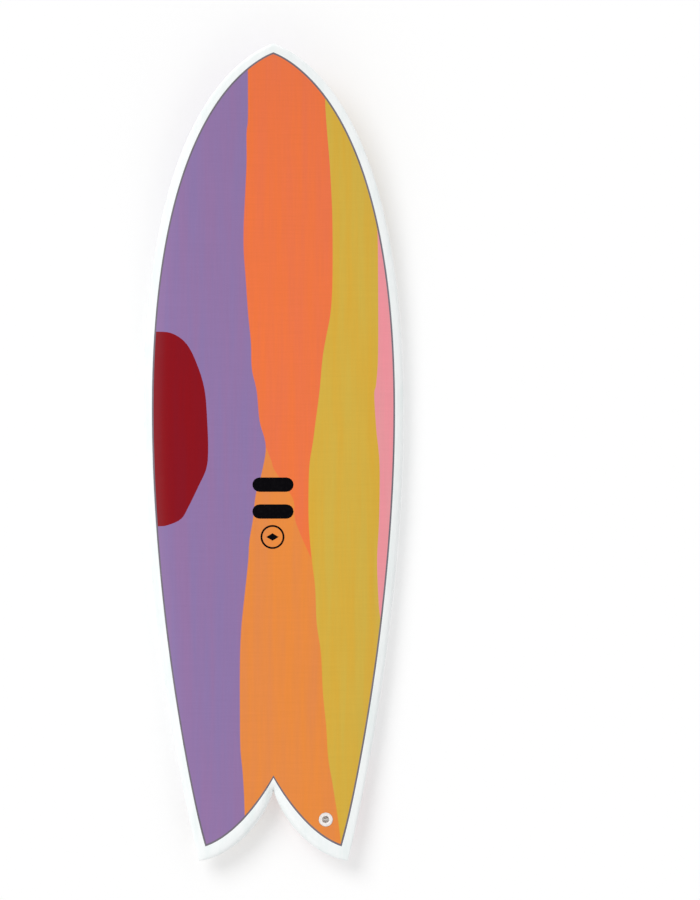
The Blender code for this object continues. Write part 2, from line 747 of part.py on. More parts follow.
def pinlines(skin):
    """Thin resin lines between the coloured cloth and the white laps."""
    depths = (SHEET_DEPTH, SHEET_DEPTH + SHEET)
    deck, bottom = [], []
    for side in (1, -1):
        deck += skin.ring_faces("deck", side, RIM + 1, RIM + 2, range(BORDER))
        bottom += skin.ring_faces("bottom", side, RIM + 1, RIM + 2, range(BORDER))
    front = shell("bottom_pinline_front", skin, bottom, *depths, "pinline_resin")
    tail = shell("bottom_pinline_tail", skin, bottom, *depths, "pinline_resin")
    ahead = seam_box("guide", (-0.4, PINLINE_BREAK, -0.1), (0.4, 1.0, 0.3))
    boolean(front, ahead, "INTERSECT")
    boolean(tail, ahead, "DIFFERENCE")
    remove(ahead)
    return [shell("deck_pinline", skin, deck, *depths, "pinline_resin"), front, tail]


def core_pieces(skin):
    """Foam halves and the wooden stringer between them."""
    whole = solid("core", skin, FOAM_DEPTH, "foam")
    half = STRINGER / 2
    pieces = []
    for name, low, high, material in (
            ("foam_core_left", -0.4, -half - GAP, "foam"),
            ("stringer", -half, half, "stringer_wood"),
            ("foam_core_right", half + GAP, 0.4, "foam")):
        item = copy_of(whole, name, material)
        guide = seam_box("guide", (low, -1.0, -0.1), (high, 1.0, 0.3))
        boolean(item, guide, "INTERSECT")
        remove(guide)
        item.data.materials.clear()
        item.data.materials.append(make_material(material))
        pieces.append(item)
    remove(whole)
    return pieces


# ---------------------------------------------------------------- fittings

def stadium(length, width, z, steps=10):
    """Loop of a slot shape with round ends, long way along y."""
    radius = width / 2
    straight = length / 2 - radius
    loop = []
    for end, start in ((1, 0.0), (-1, math.pi)):
        for step in range(steps + 1):
            angle = start + math.pi * step / steps
            loop.append((radius * math.cos(angle), end * straight + radius * math.sin(angle), z))
    return loop


def circle(radius, z, steps=28, centre=(0.0, 0.0)):
    """Loop of a circle."""
    loop = []
    for step in range(steps):
        angle = 2 * math.pi * step / steps
        loop.append((centre[0] + radius * math.cos(angle), centre[1] + radius * math.sin(angle), z))
    return loop


def moved(loop, x, y):
    """Loop moved in its own plane."""
    return [(point[0] + x, point[1] + y, point[2]) for point in loop]


def box_frame(side):
    """Frame of a fin box: z runs into the board, y towards the nose, on the bottom."""
    x, y = BOX_CENTRE
    step = 0.01
    slope = (bottom_height(x, y + step) - bottom_height(x, y - step)) / (2 * step)
    turn = Matrix.Rotation(BOX_TOE * side, 4, "Z") @ Matrix.Rotation(math.atan(slope), 4, "X")
    return Matrix.Translation((x * side, y, bottom_height(x, y) - GAP)) @ turn


def plug_frame():
    """Frame of the leash plug: z runs down into the board from the deck."""
    x, y = PLUG_CENTRE
    step = 0.008
    along_x = (deck_height(x + step, y) - deck_height(x - step, y)) / (2 * step)
    along_y = (deck_height(x, y + step) - deck_height(x, y - step)) / (2 * step)
    down = Vector((along_x, along_y, -1.0)).normalized()
    across = Vector((1.0, 0.0, along_x)).normalized()
    forward = down.cross(across)
    turn = Matrix((across, forward, down)).transposed().to_4x4()
    return Matrix.Translation((x, y, deck_height(x, y) + GAP)) @ turn


def place(item, frame):
    """Stand an object in a frame."""
    item.matrix_world = frame
    return item


def fin_box(name, frame):
    """Flanged box with a base slot and a screw hole at the nose end."""
    inner_length = BOX_LENGTH - 2 * BOX_BODY_INSET
    inner_width = BOX_WIDTH - 2 * BOX_BODY_INSET
    loops = [
        stadium(BOX_LENGTH - 0.0008, BOX_WIDTH - 0.0008, 0.0),
        stadium(BOX_LENGTH, BOX_WIDTH, 0.0004),
        stadium(BOX_LENGTH, BOX_WIDTH, BOX_FLANGE),
        stadium(inner_length, inner_width, BOX_FLANGE),
        stadium(inner_length, inner_width, BOX_DEPTH),
    ]
    item = stack(name, loops, "box_plastic")
    slot = stack("guide", [
        moved(stadium(SLOT_LENGTH, SLOT_WIDTH, z, 4), 0.0, SLOT_SHIFT) for z in (-0.002, SLOT_DEPTH)])
    hole = stack("guide", [
        circle(SCREW_RADIUS + GAP, z, 20, (0.0, SCREW_AHEAD)) for z in (-0.002, SCREW_HOLE_DEPTH)])
    for guide in (slot, hole):
        boolean(item, guide, "DIFFERENCE")
    remove(slot, hole)
    return place(item, frame)


def fin_screw(name, frame):
    """Headless set screw with a hexagon socket, on its own axis."""
    socket = SCREW_SOCKET / math.sqrt(3)
    loops = [
        circle(SCREW_RADIUS - 0.0003, 0.0, 24),
        circle(SCREW_RADIUS, 0.0003, 24),
        circle(SCREW_RADIUS, SCREW_LENGTH - 0.0008, 24),
        circle(SCREW_RADIUS - 0.0008, SCREW_LENGTH, 24),
    ]
    item = stack(name, loops, "stainless_steel")
    guide = stack("guide", [circle(socket, z, 6) for z in (-0.001, 0.003)])
    boolean(item, guide, "DIFFERENCE")
    remove(guide)
    seat = frame @ Matrix.Translation((0.0, SCREW_AHEAD, SCREW_SEAT))
    return place(item, seat)


def foam_block(name, frame):
    """Dense foam tray that the fin box is bonded into."""
    pocket_length = BOX_LENGTH - 2 * BOX_BODY_INSET + 2 * GAP
    pocket_width = BOX_WIDTH - 2 * BOX_BODY_INSET + 2 * GAP
    loops = [
        stadium(pocket_length, pocket_width, BOX_DEPTH + GAP),
        stadium(pocket_length, pocket_width, BOX_FLANGE + GAP),
        stadium(BOX_LENGTH, BOX_WIDTH, BOX_FLANGE + GAP),
        stadium(BOX_LENGTH, BOX_WIDTH, FOAM_BLOCK_DEPTH),
    ]
    return place(stack(name, loops, "dense_foam"), frame)


def leash_cup(frame):
    """Round cup with a flat rim and two seats for its cross pin."""
    loops = [
        circle(PLUG_MOUTH_RADIUS * 0.55, PLUG_CAVITY),
        circle(PLUG_MOUTH_RADIUS, PLUG_CAVITY - 0.003),
        circle(PLUG_MOUTH_RADIUS, 0.0005),
        circle(PLUG_MOUTH_RADIUS + 0.0005, 0.0),
        circle(PLUG_RIM_RADIUS - 0.0005, 0.0),
        circle(PLUG_RIM_RADIUS, 0.0005),
        circle(PLUG_RIM_RADIUS, PLUG_RIM),
        circle(PLUG_BODY_RADIUS, PLUG_RIM),
        circle(PLUG_BODY_RADIUS, PLUG_DEPTH),
    ]
    item = stack("leash_plug_cup", loops, "box_plastic")
    seat = rod("guide", PIN_RADIUS + GAP, PIN_LENGTH + 2 * GAP, 16)
    boolean(item, seat, "DIFFERENCE")
    remove(seat)
    return place(item, frame)


def rod(name, radius, length, steps, material=None):
    """Round bar along x at the leash pin's depth."""
    loops = []
    for x in (-length / 2, length / 2):
        loop = circle(radius, 0.0, steps)
        loops.append([(x, point[0], PIN_DEPTH + point[1]) for point in loop])
    return stack(name, loops, material)


def leash_foam(frame):
    """Dense foam ring and floor under the leash plug."""
    loops = [
        circle(PLUG_BODY_RADIUS + GAP, PLUG_DEPTH + GAP),
        circle(PLUG_BODY_RADIUS + GAP, PLUG_RIM + GAP),
        circle(PLUG_RIM_RADIUS, PLUG_RIM + GAP),
        circle(PLUG_RIM_RADIUS, PLUG_FOAM_DEPTH),
    ]
    return place(stack("leash_plug_foam", loops, "dense_foam"), frame)


def box_recess(frame):
    """Guide that clears the routed hole of a fin box."""
    loops = [stadium(BOX_LENGTH + 2 * GAP, BOX_WIDTH + 2 * GAP, z) for z in (-0.01, FOAM_BLOCK_DEPTH + GAP)]
    return place(stack("guide", loops), frame)


def plug_recess(frame):
    """Guide that clears the drilled hole of the leash plug."""
    loops = [circle(PLUG_RIM_RADIUS + GAP, z) for z in (-0.01, PLUG_FOAM_DEPTH + GAP)]
    return place(stack("guide", loops), frame)


def clear_for(items, names, guide):
    """Cut one guide out of every named piece."""
    for item in items:
        if item.name in names:
            material = item.data.materials[0]
            boolean(item, guide, "DIFFERENCE")
            item.data.materials.clear()
            item.data.materials.append(material)
    remove(guide)


def build():
    """Make every piece of the board."""
    clear_scene()
    skin = Skin()
    pieces = []
    for face, lift in (("deck", GAP / 2), ("bottom", -GAP / 2)):
        moves = [(skin.apex_points(), (0.0, 0.0, lift))]
        faces = skin.face_of_board(face)
        pieces.append(shell(face + "_laminate", skin, faces, 0.0, LAMINATE, "clear_laminate", moves))
    pieces += deck_panels(skin) + bottom_panels(skin) + lap_strips(skin) + pinlines(skin)
    pieces += core_pieces(skin)
    for side, label in ((-1, "left"), (1, "right")):
        frame = box_frame(side)
        cut = {"bottom_laminate", "bottom_pinline_front", "bottom_pinline_tail", "rail_lap_" + label,
               "foam_core_" + label, "bottom_panel_purple", "bottom_panel_pink"}
        clear_for(pieces, cut, box_recess(frame))
        pieces += [fin_box("fin_box_" + label, frame), fin_screw("fin_screw_" + label, frame),
                   foam_block("fin_box_foam_" + label, frame)]
    frame = plug_frame()
    clear_for(pieces, {"deck_laminate", "deck_panel_orange", "foam_core_right"}, plug_recess(frame))
    pin = place(rod("leash_plug_pin", PIN_RADIUS, PIN_LENGTH, 16, "stainless_steel"), frame)
    pieces += [leash_cup(frame), pin, leash_foam(frame)]
    for item in pieces:
        smooth(item)


build()
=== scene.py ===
"""Finished looks of a swallow-tail twin-fin surfboard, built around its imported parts.

Metres throughout.  +Y points at the nose, +X to the rider's right and +Z out of the deck.
"""
import json
import logging
import math
from dataclasses import dataclass, field
from enum import Enum
from typing import Sequence

import bmesh
import bpy
import numpy as np
from mathutils import Matrix, Vector
from mathutils.geometry import delaunay_2d_cdt


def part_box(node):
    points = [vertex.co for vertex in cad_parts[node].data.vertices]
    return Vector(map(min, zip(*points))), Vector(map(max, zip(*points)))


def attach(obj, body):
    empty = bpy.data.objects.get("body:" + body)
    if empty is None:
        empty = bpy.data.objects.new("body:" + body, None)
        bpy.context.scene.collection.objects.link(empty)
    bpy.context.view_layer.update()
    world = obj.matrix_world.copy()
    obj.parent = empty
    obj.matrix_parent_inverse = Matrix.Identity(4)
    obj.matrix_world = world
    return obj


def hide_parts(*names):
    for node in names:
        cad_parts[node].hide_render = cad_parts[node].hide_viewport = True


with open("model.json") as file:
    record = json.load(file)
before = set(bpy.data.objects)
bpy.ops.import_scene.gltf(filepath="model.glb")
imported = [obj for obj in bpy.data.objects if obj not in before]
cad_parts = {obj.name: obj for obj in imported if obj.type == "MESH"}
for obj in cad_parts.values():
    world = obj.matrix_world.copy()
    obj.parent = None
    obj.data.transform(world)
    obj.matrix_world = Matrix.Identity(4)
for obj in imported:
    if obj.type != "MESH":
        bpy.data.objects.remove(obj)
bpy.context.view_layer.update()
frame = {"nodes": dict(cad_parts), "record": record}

LOG = logging.getLogger("surfboard")
MM = 0.001
BOARD = "board"

OVERCUT = 0.001             # how far a cutter starts outside the face that it enters
FAR = 0.4                   # an x past either rail
NEARLY_ZERO = 1e-12

Plan = np.ndarray           # rows of x and y
Polygon = tuple[int, ...]   # numbers of points
Loop = list[tuple[float, float, float]]


class Side(Enum):
    """Rider's left and right."""

    LEFT = -1
    RIGHT = 1

    @property
    def label(self) -> str:
        """Lower-case word used in piece names."""
        return self.name.lower()


class Face(Enum):
    """The two faces of the board."""

    DECK = "deck"
    BOTTOM = "bottom"


# ---------------------------------------------------------------- colours and nodes

def linear(code: str) -> tuple[float, float, float, float]:
    """Turn an sRGB hex colour into linear light.

    Args:
        code: six hex digits, with or without a leading hash.

    Returns:
        Red, green, blue and full alpha, ready for a colour socket.
    """
    digits = code.lstrip("#")
    channels = [int(digits[start:start + 2], 16) / 255 for start in (0, 2, 4)]
    light = [c / 12.92 if c <= 0.04045 else ((c + 0.055) / 1.055) ** 2.4 for c in channels]
    return (*light, 1.0)


def shade(colour: Sequence[float], share: float) -> tuple[float, float, float, float]:
    """Scale a linear colour.

    Args:
        colour: linear red, green, blue and alpha.
        share: factor on the three channels.

    Returns:
        The scaled colour with the same alpha.
    """
    return tuple(min(1.0, channel * share) for channel in colour[:3]) + (1.0,)


def add_node(tree: bpy.types.NodeTree, kind: str, settings: dict | None = None,
             links: dict | None = None) -> bpy.types.Node:
    """Add one node with its settings and incoming links.

    Args:
        tree: node tree that receives the node.
        kind: Blender's name for the node type.
        settings: socket names or numbers, or node properties, with their values.
        links: socket names or numbers of the node, with the outputs that feed them.

    Returns:
        The new node.
    """
    node = tree.nodes.new(kind)
    for key, value in (settings or {}).items():
        if isinstance(key, int) or key in node.inputs:
            node.inputs[key].default_value = value
        else:
            setattr(node, key, value)
    for key, source in (links or {}).items():
        tree.links.new(source, node.inputs[key])
    return node


MIX_A, MIX_B, MIX_RESULT = 6, 7, 2      # colour sockets of a Mix node
WAVE_PHASE = 20         # radians that a Wave texture turns through in a metre, at scale 1


def wave_scale(period: float) -> float:
    """Scale at which a Wave texture's bands come round once in each period, in metres."""
    return math.tau / WAVE_PHASE / period


# ---------------------------------------------------------------- finishes

class Finish:
    """A real material.  Its own class says what is even over the surface and what varies."""

    name: str

    def constants(self) -> dict:
        """Shader sockets that are the same all over the surface."""
        return {}

    def vary(self, tree: bpy.types.NodeTree, place: bpy.types.NodeSocket) -> dict:
        """Build the nodes that change over the surface.

        Args:
            tree: node tree of the material.
            place: object coordinates.

        Returns:
            Shader sockets with the outputs that feed them.
        """
        raise NotImplementedError

    def material(self) -> bpy.types.Material:
        """Make the material.

        Returns:
            The finished material.
        """
        material = bpy.data.materials.new(self.name)
        material.use_nodes = True
        tree = material.node_tree
        shader = tree.nodes["Principled BSDF"]
        for socket, value in self.constants().items():
            shader.inputs[socket].default_value = value
        place = add_node(tree, "ShaderNodeTexCoord").outputs["Object"]
        for socket, source in self.vary(tree, place).items():
            tree.links.new(source, shader.inputs[socket])
        return material


class UnderGloss(Finish):
    """Anything that lies under the board's polished gloss resin."""

    def constants(self) -> dict:
        """Shader sockets of the gloss, which does all the shining."""
        return {"IOR": 1.5, "Coat Weight": 0.45, "Coat Roughness": 0.12, "Coat IOR": 1.5,
                "Specular IOR Level": 0.0}


@dataclass(frozen=True)
class LaminatedCloth(UnderGloss):
    """Dyed cotton cloth laid under glass and clear polyester resin, then sanded and glossed.

    The eye gets a flat, strong colour that drifts between two close dye tones in long streaks,
    fine slubs along and across the board, and a clear gloss coat over it all.
    """

    name: str
    colour: str
    streak: str                 # second dye tone
    slub: float = 0.022         # how much the slubs lighten and darken the dye
    speckle: float = 0.0        # share of pale flecks where the weave shows through
    fleck_colour: str = "#F2B79A"
    fleck: float = 4.2 * MM     # distance between flecks
    slub_width: float = 3.4 * MM    # real slubs are 0.6 mm wide; drawn coarser so that they show
    slub_length: float = 85 * MM
    streak_width: float = 24 * MM
    streak_length: float = 420 * MM
    thread: float = 2.6 * MM        # real thread spacing is 0.5 mm; drawn coarser so that it shows

    def vary(self, tree: bpy.types.NodeTree, place: bpy.types.NodeSocket) -> dict:
        """Build the dye, its flecks, the weave and a roughness that follows the dye.

        Args:
            tree: node tree of the material.
            place: object coordinates.

        Returns:
            Shader sockets with the outputs that feed them.
        """
        runs = ((self.slub_width, self.slub_length), (self.slub_length, self.slub_width),
                (self.streak_width, self.streak_length))
        noises = []
        for across, along in runs:
            stretch = add_node(tree, "ShaderNodeMapping", {
                "Scale": (1 / across, 1 / along, 1 / max(across, along))}, {"Vector": place})
            noises.append(add_node(tree, "ShaderNodeTexNoise", {
                "Scale": 1.0, "Detail": 3.0, "Roughness": 0.55},
                {"Vector": stretch.outputs["Vector"]}).outputs["Fac"])
        crossed = add_node(tree, "ShaderNodeMath", {"operation": "ADD"}, {0: noises[0], 1: noises[1]})
        tone = add_node(tree, "ShaderNodeMapRange", {
            "From Min": 0.7, "From Max": 1.3}, {"Value": crossed.outputs[0]})
        drift = add_node(tree, "ShaderNodeMapRange", {
            "From Min": 0.36, "From Max": 0.64}, {"Value": noises[2]})
        dyes = []
        for share in (1 - self.slub, 1 + self.slub):
            dyes.append(add_node(tree, "ShaderNodeMix", {
                "data_type": "RGBA", MIX_A: shade(linear(self.colour), share),
                MIX_B: shade(linear(self.streak), share)},
                {0: drift.outputs[0]}).outputs[MIX_RESULT])
        colour = add_node(tree, "ShaderNodeMix", {"data_type": "RGBA"}, {
            0: tone.outputs[0], MIX_A: dyes[0], MIX_B: dyes[1]}).outputs[MIX_RESULT]
        if self.speckle > 0:
            colour = self.add_flecks(tree, place, colour)
        rough = add_node(tree, "ShaderNodeMapRange", {"To Min": 0.42, "To Max": 0.6},
                         {"Value": tone.outputs[0]})
        return {"Base Color": colour, "Roughness": rough.outputs[0],
                "Normal": self.add_weave(tree, place)}

    def add_flecks(self, tree: bpy.types.NodeTree, place: bpy.types.NodeSocket,
                   colour: bpy.types.NodeSocket) -> bpy.types.NodeSocket:
        """Lay pale flecks over the dye, one to a bundle of threads.

        Args:
            tree: node tree of the cloth.
            place: object coordinates.
            colour: dye colour so far.

        Returns:
            Socket of the flecked colour.
        """
        cells = add_node(tree, "ShaderNodeTexVoronoi", {"Scale": 1 / self.fleck}, {"Vector": place})
        dots = add_node(tree, "ShaderNodeMapRange", {
            "From Min": 0.42, "From Max": 0.18, "To Max": self.speckle},
            {"Value": cells.outputs["Distance"]})
        flecked = add_node(tree, "ShaderNodeMix", {
            "data_type": "RGBA", MIX_B: linear(self.fleck_colour)}, {0: dots.outputs[0], MIX_A: colour})
        return flecked.outputs[MIX_RESULT]

    def add_weave(self, tree: bpy.types.NodeTree,
                  place: bpy.types.NodeSocket) -> bpy.types.NodeSocket:
        """Raise the plain weave.

        Args:
            tree: node tree of the cloth.
            place: object coordinates.

        Returns:
            Socket of the bumped normal.
        """
        bands = []
        for direction in ("X", "Y"):
            bands.append(add_node(tree, "ShaderNodeTexWave", {
                "bands_direction": direction, "Scale": wave_scale(self.thread),
                "Distortion": 0.6, "Detail": 1.0}, {"Vector": place}).outputs["Fac"])
        weave = add_node(tree, "ShaderNodeMath", {"operation": "MULTIPLY"}, {0: bands[0], 1: bands[1]})
        bump = add_node(tree, "ShaderNodeBump", {"Strength": 0.25, "Distance": 0.15 * MM},
                        {"Height": weave.outputs[0]})
        return bump.outputs[0]


@dataclass(frozen=True)
class PigmentedLap(UnderGloss):
    """Glass lap strips in white-pigmented resin, hand-squeegeed round the rail and glossed.

    The eye gets a cool white with a breath of mint where the resin is thick, the faint print of
    the glass cloth, and a rail that shines.
    """

    name: str = "white_lap_resin"
    colour: str = "#F7FAFA"
    deep: str = "#EAF3F2"
    streak: float = 60 * MM
    print_through: float = 2.2 * MM     # real glass yarn spacing is 0.8 mm; drawn coarser

    def constants(self) -> dict:
        """Shader sockets of the gloss, which lies thicker on the rail."""
        return super().constants() | {"Coat Weight": 0.7, "Coat Roughness": 0.13}

    def vary(self, tree: bpy.types.NodeTree, place: bpy.types.NodeSocket) -> dict:
        """Build the squeegee streaks and the print of the yarn.

        Args:
            tree: node tree of the material.
            place: object coordinates.

        Returns:
            Shader sockets with the outputs that feed them.
        """
        pull = add_node(tree, "ShaderNodeMapping", {
            "Scale": (3 / self.streak, 0.6 / self.streak, 3 / self.streak)}, {"Vector": place})
        thick = add_node(tree, "ShaderNodeTexNoise", {"Scale": 1.0, "Detail": 5.0, "Roughness": 0.6},
                         {"Vector": pull.outputs["Vector"]}).outputs["Fac"]
        depth = add_node(tree, "ShaderNodeMapRange", {"From Min": 0.45, "From Max": 0.8},
                         {"Value": thick})
        mixed = add_node(tree, "ShaderNodeMix", {
            "data_type": "RGBA", MIX_A: linear(self.colour), MIX_B: linear(self.deep)},
            {0: depth.outputs[0]})
        rough = add_node(tree, "ShaderNodeMapRange", {"To Min": 0.3, "To Max": 0.45}, {"Value": thick})
        yarn = add_node(tree, "ShaderNodeTexChecker", {"Scale": 1 / self.print_through}, {"Vector": place})
        bump = add_node(tree, "ShaderNodeBump", {"Strength": 0.12, "Distance": 0.05 * MM},
                        {"Height": yarn.outputs["Fac"]})
        return {"Base Color": mixed.outputs[MIX_RESULT], "Roughness": rough.outputs[0],
                "Normal": bump.outputs[0]}


@dataclass(frozen=True)
class TapedResinLine(UnderGloss):
    """Dark pigmented resin brushed between two tapes, and glossed over.

    The eye gets a thin slate line whose tone wavers a little where the brush ran out.
    """

    name: str = "pinline_resin"
    colour: str = "#746E78"
    stroke: float = 45 * MM

    def vary(self, tree: bpy.types.NodeTree, place: bpy.types.NodeSocket) -> dict:
        """Build the brush strokes.

        Args:
            tree: node tree of the material.
            place: object coordinates.

        Returns:
            Shader sockets with the outputs that feed them.
        """
        brush = add_node(tree, "ShaderNodeTexNoise", {
            "Scale": 1 / self.stroke, "Detail": 6.0, "Roughness": 0.65}, {"Vector": place}).outputs["Fac"]
        tone = add_node(tree, "ShaderNodeMapRange", {"From Min": 0.3, "From Max": 0.7},
                        {"Value": brush})
        base = linear(self.colour)
        mixed = add_node(tree, "ShaderNodeMix", {
            "data_type": "RGBA", MIX_A: shade(base, 0.86), MIX_B: shade(base, 1.16)},
            {0: tone.outputs[0]})
        rough = add_node(tree, "ShaderNodeMapRange", {"To Min": 0.32, "To Max": 0.5}, {"Value": brush})
        return {"Base Color": mixed.outputs[MIX_RESULT], "Roughness": rough.outputs[0]}


@dataclass(frozen=True)
class PrintedInk(UnderGloss):
    """Black ink screened on rice paper, which goes clear when the resin wets it.

    The eye gets a dense black whose coverage is very slightly uneven under the gloss.
    """

    name: str = "printed_ink"
    colour: str = "#060508"
    worn: str = "#151316"
    grain: float = 5 * MM

    def vary(self, tree: bpy.types.NodeTree, place: bpy.types.NodeSocket) -> dict:
        """Build the uneven coverage.

        Args:
            tree: node tree of the material.
            place: object coordinates.

        Returns:
            Shader sockets with the outputs that feed them.
        """
        grain = add_node(tree, "ShaderNodeTexNoise", {
            "Scale": 1 / self.grain, "Detail": 5.0, "Roughness": 0.7}, {"Vector": place}).outputs["Fac"]
        cover = add_node(tree, "ShaderNodeMapRange", {"From Min": 0.5, "From Max": 0.8},
                         {"Value": grain})
        mixed = add_node(tree, "ShaderNodeMix", {
            "data_type": "RGBA", MIX_A: linear(self.colour), MIX_B: linear(self.worn)},
            {0: cover.outputs[0]})
        rough = add_node(tree, "ShaderNodeMapRange", {"To Min": 0.5, "To Max": 0.7}, {"Value": grain})
        return {"Base Color": mixed.outputs[MIX_RESULT], "Roughness": rough.outputs[0]}


@dataclass(frozen=True)
class MouldedNylon(Finish):
    """Glass-filled nylon, injection moulded in a spark-eroded tool.

    The eye gets an off-white with a fine even grain, a soft satin shine and edges that light
    bleeds into.
    """

    name: str = "moulded_nylon"
    colour: str = "#F0EDF6"
    swirl: str = "#E6E2EF"
    grain: float = 0.9 * MM         # the tool's texture is 0.1 mm; drawn coarser so that it shows
    flow: float = 14 * MM
    bleed: float = 6 * MM           # how far light wanders inside the plastic

    def constants(self) -> dict:
        """Shader sockets of a plastic that lets some light in."""
        return {"IOR": 1.53, "Specular IOR Level": 0.5, "Subsurface Weight": 0.4,
                "Subsurface Radius": (1.0, 0.95, 0.9), "Subsurface Scale": self.bleed}

    def vary(self, tree: bpy.types.NodeTree, place: bpy.types.NodeSocket) -> dict:
        """Build the flow marks of the plastic and the tool's grain.

        Args:
            tree: node tree of the material.
            place: object coordinates.

        Returns:
            Shader sockets with the outputs that feed them.
        """
        flow = add_node(tree, "ShaderNodeTexNoise", {
            "Scale": 1 / self.flow, "Detail": 5.0, "Distortion": 0.8}, {"Vector": place})
        mixed = add_node(tree, "ShaderNodeMix", {
            "data_type": "RGBA", MIX_A: linear(self.colour), MIX_B: linear(self.swirl)},
            {0: flow.outputs["Fac"]})
        grain = add_node(tree, "ShaderNodeTexNoise", {"Scale": 1 / self.grain, "Detail": 2.0},
                         {"Vector": place}).outputs["Fac"]
        rough = add_node(tree, "ShaderNodeMapRange", {"To Min": 0.34, "To Max": 0.5}, {"Value": grain})
        bump = add_node(tree, "ShaderNodeBump", {"Strength": 0.2, "Distance": 0.05 * MM},
                        {"Height": grain})
        return {"Base Color": mixed.outputs[MIX_RESULT], "Roughness": rough.outputs[0],
                "Normal": bump.outputs[0]}


@dataclass(frozen=True)
class TurnedStainless(Finish):
    """Stainless steel bar, turned, tumbled and passivated.

    The eye gets a soft grey metal under fine, parallel tool marks.
    """

    name: str = "turned_stainless"
    colour: str = "#DCDBD8"
    ring: float = 0.35 * MM         # tool marks are 0.05 mm apart; drawn coarser so that they show

    def constants(self) -> dict:
        """Shader sockets of a bare metal."""
        return {"Metallic": 1.0}

    def vary(self, tree: bpy.types.NodeTree, place: bpy.types.NodeSocket) -> dict:
        """Build the tool marks.

        Args:
            tree: node tree of the material.
            place: object coordinates.

        Returns:
            Shader sockets with the outputs that feed them.
        """
        rings = add_node(tree, "ShaderNodeTexWave", {
            "bands_direction": "X", "Scale": wave_scale(self.ring), "Distortion": 1.5,
            "Detail": 2.0}, {"Vector": place}).outputs["Fac"]
        base = linear(self.colour)
        mixed = add_node(tree, "ShaderNodeMix", {
            "data_type": "RGBA", MIX_A: shade(base, 0.88), MIX_B: base}, {0: rings})
        rough = add_node(tree, "ShaderNodeMapRange", {"To Min": 0.42, "To Max": 0.56}, {"Value": rings})
        bump = add_node(tree, "ShaderNodeBump", {"Strength": 0.05, "Distance": 0.02 * MM},
                        {"Height": rings})
        return {"Base Color": mixed.outputs[MIX_RESULT], "Roughness": rough.outputs[0],
                "Normal": bump.outputs[0]}


@dataclass(frozen=True)
class BlownFoam(Finish):
    """Closed-cell polyurethane foam, planed and sanded.

    The eye gets a chalky surface pricked all over by cut cells, with painted shade darkening each cell's
    hollow.
    """

    name: str
    colour: str
    cell: float

    def constants(self) -> dict:
        """Shader sockets of a chalky plastic."""
        return {"IOR": 1.45, "Specular IOR Level": 0.2}

    def vary(self, tree: bpy.types.NodeTree, place: bpy.types.NodeSocket) -> dict:
        """Build the cut cells, with painted shade in their hollows.

        Args:
            tree: node tree of the material.
            place: object coordinates.

        Returns:
            Shader sockets with the outputs that feed them.
        """
        cells = add_node(tree, "ShaderNodeTexVoronoi", {"Scale": 1 / self.cell},
                         {"Vector": place}).outputs["Distance"]
        base = linear(self.colour)
        # painted shade: the colour darkens to 0.8 at the bottom of each cell's pit, where the bump sinks it;
        # the foam itself is one even colour
        mixed = add_node(tree, "ShaderNodeMix", {
            "data_type": "RGBA", MIX_A: shade(base, 0.8), MIX_B: base}, {0: cells})
        rough = add_node(tree, "ShaderNodeMapRange", {"To Min": 0.95, "To Max": 0.8}, {"Value": cells})
        bump = add_node(tree, "ShaderNodeBump", {"Strength": 0.5, "Distance": 0.2 * MM},
                        {"Height": cells})
        return {"Base Color": mixed.outputs[MIX_RESULT], "Roughness": rough.outputs[0],
                "Normal": bump.outputs[0]}


@dataclass(frozen=True)
class SawnStringer(Finish):
    """Thin strip of sawn softwood, planed level with the foam that it is glued between.

    The eye gets long narrow growth lines that run with the board.
    """

    name: str = "sawn_stringer"
    colour: str = "#C79A66"
    late_wood: str = "#A87848"
    ring: float = 3 * MM
    stretch: float = 50             # how much longer than wide the growth lines are

    def constants(self) -> dict:
        """Shader sockets of bare wood."""
        return {"IOR": 1.5, "Specular IOR Level": 0.3}

    def vary(self, tree: bpy.types.NodeTree, place: bpy.types.NodeSocket) -> dict:
        """Build the growth lines.

        Args:
            tree: node tree of the material.
            place: object coordinates.

        Returns:
            Shader sockets with the outputs that feed them.
        """
        grain = add_node(tree, "ShaderNodeMapping", {
            "Scale": (1 / self.ring, 1 / self.ring / self.stretch, 1 / self.ring)}, {"Vector": place})
        lines = add_node(tree, "ShaderNodeTexNoise", {"Scale": 1.0, "Detail": 6.0, "Roughness": 0.6},
                         {"Vector": grain.outputs["Vector"]}).outputs["Fac"]
        mixed = add_node(tree, "ShaderNodeMix", {
            "data_type": "RGBA", MIX_A: linear(self.colour), MIX_B: linear(self.late_wood)},
            {0: lines})
        rough = add_node(tree, "ShaderNodeMapRange", {"To Min": 0.6, "To Max": 0.8}, {"Value": lines})
        return {"Base Color": mixed.outputs[MIX_RESULT], "Roughness": rough.outputs[0]}


